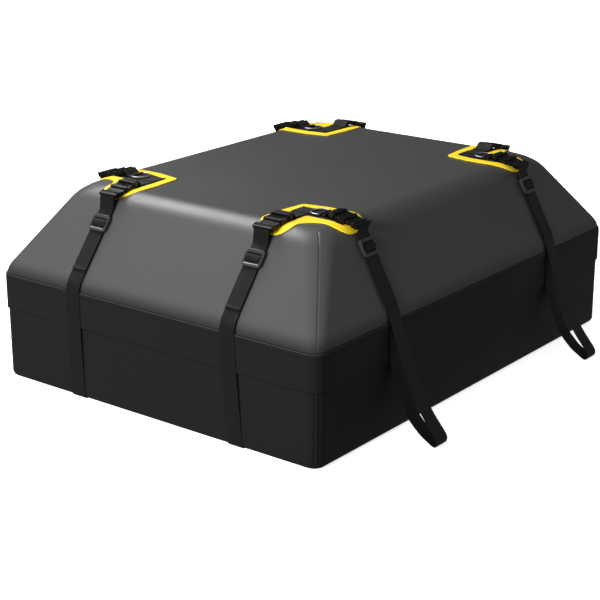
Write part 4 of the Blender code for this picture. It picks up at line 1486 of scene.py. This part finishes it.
@dataclass
class AnchorWebbing:
    """Webbing sewn in an L on a corner patch, turned round two sockets and a ring."""

    finishes: Finishes
    corner: Corner
    low: float = 0.0024
    skin: float = 0.0013
    ring_bar_x: float = 0.2585
    wire: float = 0.0018
    keeper: float = 0.034
    socket_in: float = -0.032
    bar_long: float = 0.0045
    bar_low: float = 0.0026
    bar_high: float = 0.0070
    wrap_gap: float = 0.0003
    ring_sleeve_skin: float = 0.0011
    fold_over: float = 0.004
    fold_lift: float = 0.0006
    fold_skin: float = 0.0009

    def hook(self, side: Side) -> list[Vector]:
        """Places round a socket's bar, from below it, over and back down.

        Args:
            side: an end or a long side.

        Returns:
            The places, as (outward, z).
        """
        reach = self.skin / 2 + self.wrap_gap
        near, far = self.socket_in, self.socket_in + self.bar_long
        places = arc(far, self.bar_low, reach, (-70, -35, -5))
        places += arc(far, self.bar_high, reach, (15, 45, 75))
        places += arc(near, self.bar_high, reach, (105, 135, 165))
        spots = [BAG.over_edge(side, along, up) for along, up in places]
        flat = BAG.height + self.low + self.skin * 1.5 + 0.0001
        foot = spots[-1].x - 0.0105
        spots += [Vector((foot + 0.0045, flat + 0.0048)), Vector((foot + 0.0012, flat + 0.0008)),
                  Vector((foot - 0.0012, flat))]
        return spots + [Vector((foot - (0.0035 if side is Side.LONG else 0.012), flat))]

    def arm(self, side: Side, start: float) -> bpy.types.Object:
        """One arm of the L, lying flat and ending round a socket's bar.

        Args:
            side: an end or a long side.
            start: where the arm starts, from the bag's middle.

        Returns:
            The arm.
        """
        level = BAG.height + self.low + self.skin / 2
        strip = WebbingStrip(f"anchor_{side.value}_{self.corner.name}", side, self.corner)
        hook = self.hook(side)
        flat = [Vector((start + (hook[0].x - 0.006 - start) * k / 5, level)) for k in range(6)]
        return strip.lay(curve_through(flat + hook, 0.003))

    def mitre(self, strip: WebbingStrip) -> bpy.types.Object:
        """Folded corner of the L: a thin three-cornered layer over the crossing.

        Args:
            strip: a strip that crosses there, for its sizes.

        Returns:
            The fold.
        """
        half = strip.width / 2
        x, y = strip.end_strap_x, strip.side_strap_y
        sign_x, sign_y = self.corner.value
        level = BAG.height + self.low + self.skin + self.fold_lift
        top = y + half + self.fold_over
        plan = [(x - half, y - half), (x + half, y + half), (x + half, top), (x - half, top)]
        work = Workpiece(f"anchor_fold_{self.corner.name}")
        work.sheet([(sign_x * a, sign_y * b, level) for a, b in plan])
        bpy.ops.object.mode_set(mode="OBJECT")
        map_strip(work.item, lambda i: plan[i][0] - x + half, lambda i: plan[i][1])
        return thicken(work.item, self.fold_skin, 0.0)

    def sleeve(self) -> bpy.types.Object:
        """Short webbing tunnel that holds the ring's straight bar.

        Returns:
            The sleeve.
        """
        name = f"anchor_sleeve_{self.corner.name}"
        strip = WebbingStrip(name, Side.LONG, self.corner, self.keeper, self.ring_sleeve_skin)
        level = BAG.height + self.low + self.skin
        bar = Vector((self.ring_bar_x, level + self.wrap_gap + self.wire))
        reach = self.wire + self.wrap_gap + strip.skin / 2
        flat = level + strip.skin / 2 + 0.0001
        places = [Vector((self.ring_bar_x + out, flat)) for out in (0.0072, 0.0055)]
        for angle in range(40, 241, 20):
            turn = math.radians(angle)
            places.append(bar + Vector((math.cos(turn), math.sin(turn))) * reach)
        return strip.lay(curve_through(places, 0.002))

    def build(self) -> bpy.types.Object:
        """Join the arms, the fold and the sleeve into one sewn piece.

        Returns:
            The joined webbing.
        """
        strip = WebbingStrip("", Side.END, self.corner)
        half = strip.width / 2
        items = [self.arm(Side.LONG, strip.end_strap_x - half), self.arm(Side.END, strip.side_strap_y + half),
                 self.mitre(strip), self.sleeve()]
        item = join(items)
        item.name = f"anchor_webbing_{self.corner.name}"
        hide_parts(f"anchor_web_{self.corner.name}")
        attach(item, "bag")
        self.finishes.put(item, "webbing")
        log.info("made %s", item.name)
        return item


@dataclass
class Ring:
    """Welded D-ring of round wire, free to swing in its sleeve."""

    finishes: Finishes
    corner: Corner
    wire: float = 0.0018
    reach: float = 0.030
    half_wide: float = 0.021
    bar_x: float = 0.2585
    bar_y: float = 0.3135
    bar_z: float = 0.4338
    bend: float = 0.0045
    sides: int = 14

    def path(self) -> list[Vector]:
        """Closed middle line of the wire, in the ring's own plane.

        Returns:
            The line's points.
        """
        wide, bow = self.half_wide, self.half_wide * 0.92
        straight = -self.reach + bow
        points = [Vector((0.0, wide * share)) for share in (-0.75, -0.4, 0.0, 0.4, 0.75)]
        quarter = (0.0, 0.39, 0.79, 1.18, math.pi / 2)
        corner = Vector((-self.bend, wide - self.bend))
        points += [corner + Vector((math.sin(a), math.cos(a))) * self.bend for a in reversed(quarter)]
        points += [Vector((straight - bow * math.sin(a), wide * math.cos(a)))
                   for a in [math.pi * k / 22 for k in range(23)]]
        corner = Vector((-self.bend, -wide + self.bend))
        points += [corner + Vector((math.sin(a), -math.cos(a))) * self.bend for a in quarter]
        return points

    def build(self) -> bpy.types.Object:
        """Sweep the wire round its line.

        Returns:
            The ring.
        """
        sign_x, sign_y = self.corner.value
        name = self.corner.name
        path = self.path()
        count, sides = len(path), self.sides
        work = bmesh.new()
        rows = []
        for i, here in enumerate(path):
            ahead = (path[(i + 1) % count] - path[i - 1]).normalized()
            out = Vector((ahead.y, -ahead.x))
            row = []
            for k in range(sides):
                angle = 2 * math.pi * k / sides
                flat = here + out * self.wire * math.cos(angle)
                spot = (sign_x * (self.bar_x + flat.x), sign_y * (self.bar_y + flat.y),
                        self.bar_z + self.wire * math.sin(angle))
                row.append(work.verts.new(spot))
            rows.append(row)
        for i in range(count):
            near, far = rows[i], rows[(i + 1) % count]
            for k in range(sides):
                m = (k + 1) % sides
                work.faces.new((near[k], near[m], far[m], far[k]))
        bmesh.ops.recalc_face_normals(work, faces=work.faces)
        mesh = bpy.data.meshes.new(f"ring_{name}")
        work.to_mesh(mesh)
        work.free()
        mesh.shade_smooth()
        item = new_object(f"steel_ring_{name}", mesh)
        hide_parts(f"d_ring_{name}")
        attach(item, f"ring_{name}")
        self.finishes.put(item, "ring_steel")
        log.info("made %s", item.name)
        return item


def slab(name: str, outline: Sequence[Plan], low: float, high: float, soft: float,
         upright: bool = False) -> bpy.types.Object:
    """Moulded block with softened edges, in a fitting's own frame (along, across, up).

    Args:
        name: the object's name.
        outline: its outline, in plan, or from the side where upright.
        low: where it starts, in height, or across where upright.
        high: where it ends.
        soft: the radius of its edges.
        upright: whether the outline is (along, up) in place of (along, across).

    Returns:
        The block.
    """
    work = Workpiece(name)
    mesh = bmesh.from_edit_mesh(work.item.data)
    spots = [(a, low, b) if upright else (a, b, low) for a, b in outline]
    mesh.faces.new([mesh.verts.new(spot) for spot in spots])
    bmesh.update_edit_mesh(work.item.data)
    move = (0.0, high - low, 0.0) if upright else (0.0, 0.0, high - low)
    bpy.ops.mesh.select_all(action="SELECT")
    bpy.ops.mesh.extrude_region_move(TRANSFORM_OT_translate={"value": move})
    item = work.done(35.0)
    edge = item.modifiers.new("edge", "BEVEL")
    edge.width = soft
    edge.segments = 3
    edge.limit_method = "ANGLE"
    edge.angle_limit = math.radians(35)
    apply_all(item)
    bpy.ops.object.shade_smooth_by_angle(angle=math.radians(40))
    return item


def pierce(item: bpy.types.Object, tool: bpy.types.Object) -> bpy.types.Object:
    """Cut one block out of another.

    Args:
        item: the block that is cut.
        tool: the block that is taken away, and removed.

    Returns:
        The cut block.
    """
    step = item.modifiers.new("opening", "BOOLEAN")
    step.operation = "DIFFERENCE"
    step.solver = "EXACT"
    step.object = tool
    apply_all(item)
    bpy.data.objects.remove(tool, do_unlink=True)
    return item


def both_sides(half: Sequence[Plan]) -> list[Plan]:
    """Whole outline from the points of one side."""
    return list(half) + [(a, -b) for a, b in reversed(half)]


def oblong(half_a: float, half_b: float, radius: float, steps: int) -> list[Plan]:
    """Rectangle with rounded corners.

    Args:
        half_a: half of its first side.
        half_b: half of its second side.
        radius: its corners' radius.
        steps: how many pieces a corner has.

    Returns:
        The outline's points.
    """
    a, b = half_a, half_b
    corners = [Vector(p) for p in ((a, -b), (a, b), (-a, b), (-a, -b))]
    return [tuple(p) for p in rounded(corners, [radius] * 4, steps)]


@dataclass
class Fittings:
    """Moulded buckle halves and adjusters, modelled once and copied to every strap."""

    finishes: Finishes
    socket_wide: float = 0.052
    socket_tall: float = 0.0084
    plug_wide: float = 0.047
    block_tall: float = 0.0116
    web_wide: float = 0.038
    adjuster_wide: float = 0.047
    adjuster_long: float = 0.038
    rail_long: float = 0.0078
    rail_wide: float = 0.0052
    web_gap: float = 0.0006
    hollow: Plan = (0.0018, 0.0076 - 0.0008)
    prong_up: Plan = (0.0021, 0.0068)
    hump_in: float = 0.0058
    web_skin: float = 0.0013
    end_adjuster: float = 0.0796
    side_adjuster: float = 0.0560

    def socket(self) -> bpy.types.Object:
        """Receiving half: a low hollow body with side windows and a webbing bar.

        Returns:
            The socket.
        """
        w = self.socket_wide / 2
        half = [(-0.0320, w - 0.0065), (-0.0300, w - 0.0042), (-0.0235, w - 0.0030), (-0.0195, w - 0.0004),
                (-0.0165, w - 0.0004), (-0.0155, w - 0.0030), (-0.0060, w - 0.0034), (-0.0045, w - 0.0008),
                (0.0095, w - 0.0014), (0.0120, w - 0.0034)]
        body = slab("socket_body", both_sides(half), 0.0004, self.socket_tall, 0.0009)
        slot = self.web_wide / 2 + self.web_gap
        opening = [(-0.0275, slot), (-0.0235, slot)]
        pierce(body, slab("slot", both_sides(opening), -0.01, 0.02, 0.0003))
        rim = [(-0.034, slot), (-0.0270, slot)]
        pierce(body, slab("over_bar", both_sides(rim), 0.0070, 0.02, 0.0003))
        pierce(body, slab("under_bar", both_sides(rim), -0.01, 0.0026, 0.0003))
        mouth = [(-0.0185, w - 0.0040), (0.03, w - 0.0040)]
        pierce(body, slab("hollow", both_sides(mouth), *self.hollow, 0.0003))
        window = [(-0.0150, w + 0.01), (-0.0062, w + 0.01)]
        pierce(body, slab("window", both_sides(window), *self.hollow, 0.0003))
        low, high = self.socket_tall - 0.0007, self.socket_tall + 0.0030
        brow = [(0.0022, w - 0.0060), (0.0040, w - 0.0020), (0.0092, w - 0.0024), (0.0108, w - 0.0060)]
        heel = [(-0.0228, w - 0.0070), (-0.0215, w - 0.0040), (-0.0172, w - 0.0022), (-0.0160, w - 0.0050)]
        return join([body, slab("brow", both_sides(brow), low, high, 0.0012),
                     slab("heel", both_sides(heel), low, high - 0.0006, 0.0012)])

    def plug(self) -> bpy.types.Object:
        """Entering half: two prongs, a guide, a neck and a raised end block over the webbing.

        Returns:
            The plug.
        """
        w = self.plug_wide / 2
        edge = self.socket_wide / 2 - 0.0012
        prong = [(0.0123, 0.0105), (0.0040, 0.0125), (-0.0100, 0.0135), (-0.0148, 0.0165), (-0.0125, 0.0225),
                 (-0.0095, edge), (-0.0066, edge), (-0.0064, 0.0185), (0.0030, 0.0175), (0.0123, 0.0185)]
        right = slab("prong_right", prong, *self.prong_up, 0.0005)
        left = slab("prong_left", [(a, -b) for a, b in prong], *self.prong_up, 0.0005)
        guide = slab("guide", both_sides([(-0.0120, 0.0034), (0.0125, 0.0040)]), *self.prong_up, 0.0005)
        neck = [(0.0123, w - 0.0020), (0.0175, w - 0.0002), (0.0270, w - 0.0030), (0.0320, w - 0.0010)]
        collar = slab("neck", both_sides(neck), 0.0012, 0.0080, 0.0008)
        rail = [(0.0300, 0.0008), (0.0415, 0.0008), (0.0438, 0.0030), (0.0438, 0.0095), (0.0300, 0.0095)]
        slot = self.web_wide / 2 + self.web_gap
        sides = [slab(f"rail_{side}", rail, low, high, 0.0006, True)
                 for side, low, high in (("near", slot, w + 0.0006), ("far", -w - 0.0006, -slot))]
        bar = [(0.0355, 0.0030), (0.0360, 0.0027), (0.0415, 0.0027), (0.0420, 0.0030), (0.0420, 0.0063),
               (0.0415, 0.0066), (0.0360, 0.0066), (0.0355, 0.0063)]
        rod = slab("webbing_bar", bar, -slot - 0.001, slot + 0.001, 0.0003, True)
        roof = [(0.0262, 0.0068), (0.0285, 0.0100), (0.0315, self.block_tall), (0.0425, self.block_tall),
                (0.0452, 0.0103), (0.0454, 0.0086), (0.0330, 0.0086), (0.0300, 0.0066)]
        block = slab("end_block", roof, -w - 0.0008, w + 0.0008, 0.0008, True)
        groove = [(0.0345, self.block_tall - 0.0007), (0.0352, self.block_tall + 0.002),
                  (0.0396, self.block_tall + 0.002), (0.0403, self.block_tall - 0.0007)]
        pierce(block, slab("finger_dip", groove, -w + 0.005, w - 0.005, 0.0003, True))
        return join([block, right, left, guide, collar, *sides, rod])

    def adjuster(self) -> bpy.types.Object:
        """Sliding frame: a rounded window over a middle bar.

        Returns:
            The adjuster.
        """
        a, b = self.adjuster_long / 2, self.adjuster_wide / 2
        frame_piece = slab("adjuster_frame", oblong(a, b, 0.0075, 6), 0.0020, 0.0096, 0.0011)
        hole = oblong(a - self.rail_long, b - self.rail_wide, 0.003, 5)
        pierce(frame_piece, slab("hole", hole, -0.01, 0.03, 0.0003))
        inner = self.web_wide / 2 + 0.0005
        tunnel = both_sides([(-0.04, inner), (0.04, inner)])
        pierce(frame_piece, slab("tunnel", tunnel, -0.01, 0.0066, 0.0003))
        rod = [(-0.0030, 0.0016), (-0.0020, 0.0008), (0.0020, 0.0008), (0.0030, 0.0016), (0.0030, 0.0026),
               (0.0020, 0.0034), (-0.0020, 0.0034), (-0.0030, 0.0026)]
        return join([frame_piece, slab("middle_bar", rod, -inner - 0.0015, inner + 0.0015, 0.0003, True)])

    def hump(self) -> bpy.types.Object:
        """Webbing that rises over the adjuster's middle bar inside its window.

        Returns:
            The webbing.
        """
        half = self.adjuster_wide / 2 - self.hump_in
        line = [Vector(p) for p in ((-0.0092, 0.0068), (-0.0080, 0.0074), (-0.0055, 0.0092), (0.0, 0.0101),
                                    (0.0055, 0.0092), (0.0080, 0.0074), (0.0092, 0.0068))]
        path = curve_through(line, 0.0012)
        work = Workpiece("hump")
        start = [Vector((path[0].x, half * (2 * k / 5 - 1), path[0].y)) for k in range(6)]
        work.strip(start, [Vector((b.x - a.x, 0.0, b.y - a.y)) for a, b in zip(path, path[1:])])
        bpy.ops.object.mode_set(mode="OBJECT")
        places = [p.co.copy() for p in work.item.data.vertices]
        map_strip(work.item, lambda i: places[i].y + self.web_wide / 2, lambda i: places[i].x)
        return thicken(work.item, self.web_skin, 0.0)

    def copy(self, model: bpy.types.Object, name: str, place: Placing) -> bpy.types.Object:
        """Copy of a model with its own mesh, put into the bag's frame.

        Args:
            model: what is copied.
            name: the copy's name.
            place: puts a point of the model in the bag's frame.

        Returns:
            The copy.
        """
        mesh = model.data.copy()
        for point in mesh.vertices:
            point.co = place(*point.co)
        item = new_object(name, mesh)
        work = bmesh.new()
        work.from_mesh(mesh)
        if work.calc_volume(signed=True) < 0:
            bmesh.ops.reverse_faces(work, faces=work.faces)
            work.to_mesh(mesh)
        work.free()
        return item

    def build(self) -> None:
        """Model each fitting once and copy it to all eight straps."""
        socket, plug, adjuster, hump = self.socket(), self.plug(), self.adjuster(), self.hump()
        for corner in Corner:
            for side in Side:
                strip = WebbingStrip("", side, corner)
                label = Strap(self.finishes, side, corner).label()
                middle = self.end_adjuster if side is Side.END else self.side_adjuster

                def on_edge(a: float, w: float, h: float) -> Vector:
                    """Place on a buckle."""
                    return strip.put(BAG.over_edge(side, a, h), w)

                def on_slope(a: float, w: float, h: float) -> Vector:
                    """Place on an adjuster."""
                    return strip.put(BAG.slope(side, middle + a, h), w)

                rows = ((socket, "buckle_socket", "bag", "buckle_plastic", on_edge),
                        (plug, "buckle_plug", f"plug_{label}", "buckle_plastic", on_edge),
                        (adjuster, "adjuster", f"adjuster_{label}", "adjuster_plastic", on_slope),
                        (hump, "", f"adjuster_{label}", "webbing", on_slope))
                for model, node, body, slot, place in rows:
                    item = self.copy(model, f"{model.name}_{label}", place)
                    if node:
                        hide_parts(f"{node}_{label}")
                    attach(item, body)
                    self.finishes.put(item, slot)
                log.info("made the fittings of %s", label)
        for model in (socket, plug, adjuster, hump):
            bpy.data.objects.remove(model, do_unlink=True)


@dataclass
class ZipAndHinge:
    """Zip tapes with their coil round the front and sides, and the cloth hinge behind."""

    finishes: Finishes
    middle_z: float = 0.205
    reach: float = 0.0172
    face: float = -0.0029
    skin: float = 0.0010
    seat: float = 0.0003
    coil_proud: float = 0.0015
    coil_half: float = 0.0026
    steps: int = 8

    def band(self, name: str, out: float, span: Plan, skin: float, behind: bool) -> bpy.types.Object:
        """Upright band round the front and sides, or along the rear.

        Args:
            name: the new piece's name.
            out: how far its outer face stands from the bag's walls.
            span: its lower and upper height.
            skin: its thickness, inward.
            behind: whether it is the rear part in place of the front and sides.

        Returns:
            The band.
        """
        work = Workpiece(name)
        for z in span:
            work.rounded_ring(BAG.half_x + out, BAG.half_y + out, BAG.wall_corner + out, z, self.steps)
        work.bridge()
        item = thicken(work.done(), skin, -1.0)
        cut = BAG.half_y - BAG.wall_corner + (self.seat if behind else 0.0)
        bpy.ops.object.mode_set(mode="EDIT")
        bpy.ops.mesh.select_all(action="SELECT")
        bpy.ops.mesh.bisect(plane_co=(0.0, cut, 0.0), plane_no=(0.0, 1.0, 0.0), use_fill=True,
                            clear_inner=behind, clear_outer=not behind)
        bpy.ops.mesh.select_all(action="SELECT")
        bpy.ops.mesh.normals_make_consistent(inside=False)
        bpy.ops.object.mode_set(mode="OBJECT")
        return item

    def tape(self, sign: int, name: str, node: str) -> None:
        """One tape with its half of the coil, above (1) or below (-1) the zip's middle.

        Args:
            sign: which tape.
            name: the piece's name.
            node: the solid that it replaces.
        """
        heights = [self.middle_z + sign * a for a in (self.seat / 2, self.coil_half, self.reach)]
        flat = tuple(sorted((heights[0], heights[2])))
        ridge = tuple(sorted((heights[0], heights[1])))
        cloth = self.band(name, self.face, flat, self.skin, False)
        coil_skin = self.coil_proud + self.skin
        coil = self.band(f"{name}_coil", self.face + self.coil_proud, ridge, coil_skin, False)
        item = join([cloth, coil])
        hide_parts(node)
        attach(item, "bag")
        self.finishes.put(item, "zip_cloth")
        log.info("made %s", item.name)

    def build(self) -> None:
        """Make both tapes and the hinge."""
        self.tape(1, "zip_tape_upper", "zipper_upper_tape")
        self.tape(-1, "zip_tape_lower", "zipper_lower_tape")
        span = (self.middle_z - self.reach, self.middle_z + self.reach)
        item = self.band("hinge_cloth", self.face, span, self.skin, True)
        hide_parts("hinge_strip")
        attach(item, "bag")
        self.finishes.put(item, "base_cloth")
        log.info("made %s", item.name)


@dataclass
class Studio:
    """Floor, light and camera of the picture."""

    eye: tuple[float, float, float] = (2.1194, -2.8058, 1.2868)
    turned: float = 52.327
    tipped: float = 18.471
    lens: float = 95.8
    sensor: float = 36.0
    floor_wide: float = 80.0
    floor_gap: float = 0.0005
    middle_z: float = 0.25
    dim_toward: tuple[float, float, float] = (-0.61, 0.72, 0.35)
    dim_span: Plan = (0.3, 0.95)
    strength: Plan = (0.30, 0.08)

    def floor(self) -> None:
        """Wide pale floor."""
        bpy.ops.mesh.primitive_grid_add(x_subdivisions=4, y_subdivisions=4, size=self.floor_wide,
                                        location=(0.0, 0.0, -self.floor_gap))
        item = bpy.context.object
        item.name = "studio_floor"
        paint = Paint("studio_floor", (0.88, 0.88, 0.88), 0.9)
        cloudy = paint.noise(1.5)
        paint.set("Base Color", paint.mix(cloudy * 0.2, (0.88, 0.88, 0.88), (0.86, 0.86, 0.87)))
        paint.set("Emission Color", (1.0, 1.0, 1.0, 1.0))
        paint.set("Emission Strength", 0.75)
        paint.set("Specular IOR Level", 0.1)
        item.data.materials.append(paint.material)
        item.visible_diffuse = item.visible_glossy = False

    def lamp(self, name: str, way: Sequence[float], far: float, size: tuple[float, float], power: float,
             glint: bool = True) -> None:
        """Soft area light that looks at the bag from a direction, with or without a reflection of its own.

        Args:
            name: the light's name.
            way: the direction in which it stands.
            far: how far off it stands.
            size: its width and height.
            power: its watts.
            glint: whether it shows in reflections.
        """
        light = bpy.data.lights.new(name, "AREA")
        light.shape = "RECTANGLE"
        light.size, light.size_y = size
        light.energy = power
        item = new_object(name, light)
        toward = Vector(way).normalized()
        item.visible_glossy = glint
        item.location = Vector((0.0, 0.0, self.middle_z)) + toward * far
        item.rotation_euler = (-toward).to_track_quat("-Z", "Y").to_euler()

    def camera(self) -> None:
        """Camera at the photograph's angle."""
        across, up = math.radians(self.turned), math.radians(self.tipped)
        look = Vector((-math.cos(across) * math.cos(up), math.sin(across) * math.cos(up), -math.sin(up)))
        view = bpy.data.cameras.new("camera")
        view.lens = self.lens
        view.sensor_width = self.sensor
        view.clip_end = 200.0
        item = new_object("camera", view)
        item.location = self.eye
        item.rotation_euler = look.to_track_quat("-Z", "Y").to_euler()
        bpy.context.scene.camera = item

    def room(self) -> None:
        """Soft white room that falls off toward its far left."""
        world = bpy.data.worlds.new("studio")
        world.use_nodes = True
        nodes, links = world.node_tree.nodes, world.node_tree.links
        way = nodes.new("ShaderNodeTexCoord")
        toward = nodes.new("ShaderNodeVectorMath")
        toward.operation = "DOT_PRODUCT"
        toward.inputs[1].default_value = self.dim_toward
        fall = nodes.new("ShaderNodeMapRange")
        spans = zip(("From Min", "From Max", "To Min", "To Max"), (*self.dim_span, *self.strength))
        for name, value in spans:
            fall.inputs[name].default_value = value
        back = nodes["Background"]
        back.inputs["Color"].default_value = (1.0, 1.0, 1.0, 1.0)
        links.new(way.outputs["Generated"], toward.inputs[0])
        links.new(toward.outputs["Value"], fall.inputs["Value"])
        links.new(fall.outputs["Result"], back.inputs["Strength"])
        bpy.context.scene.world = world

    def build(self) -> None:
        """Set up the picture."""
        self.floor()
        self.camera()
        self.lamp("key_light", (-0.55, 0.06, 0.80), 2.6, (1.3, 1.3), 54.0)
        self.lamp("side_light", (-0.02, -0.90, 0.30), 4.0, (2.0, 1.2), 300.0, False)
        self.lamp("back_light", (-0.35, 0.93, 0.05), 4.0, (2.0, 0.6), 160.0, False)
        self.room()
        bpy.context.scene.view_settings.view_transform = "Standard"
        log.info("set the stage")


def dress_solids(finishes: Finishes) -> None:
    """Give the solids that stay visible the same finishes as the rest.

    Args:
        finishes: the bag's finishes.
    """
    heads = {"zipper_slider": "zip_metal", "zipper_pull": "zip_metal"}
    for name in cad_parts:
        for head, slot in heads.items():
            item = bpy.data.objects.get(name)
            if name.startswith(head) and item:
                for place in item.material_slots:
                    place.material = finishes.paints[slot].material


def main() -> None:
    """Build the bag piece by piece."""
    finishes = Finishes()
    Shells(finishes).build()
    drifts = {Corner.front_right: 0.0180, Corner.front_left: 0.0020, Corner.rear_right: -0.0040,
              Corner.rear_left: 0.0060}
    for corner in Corner:
        CornerPatch(finishes, corner).build()
        AnchorWebbing(finishes, corner).build()
        Ring(finishes, corner).build()
        Strap(finishes, Side.END, corner, drifts[corner]).build()
        Strap(finishes, Side.LONG, corner).build()
    Fittings(finishes).build()
    ZipAndHinge(finishes).build()
    dress_solids(finishes)
    Studio().build()


if __name__ == "__main__":
    logging.basicConfig(level=logging.INFO, format="%(message)s")
    main()
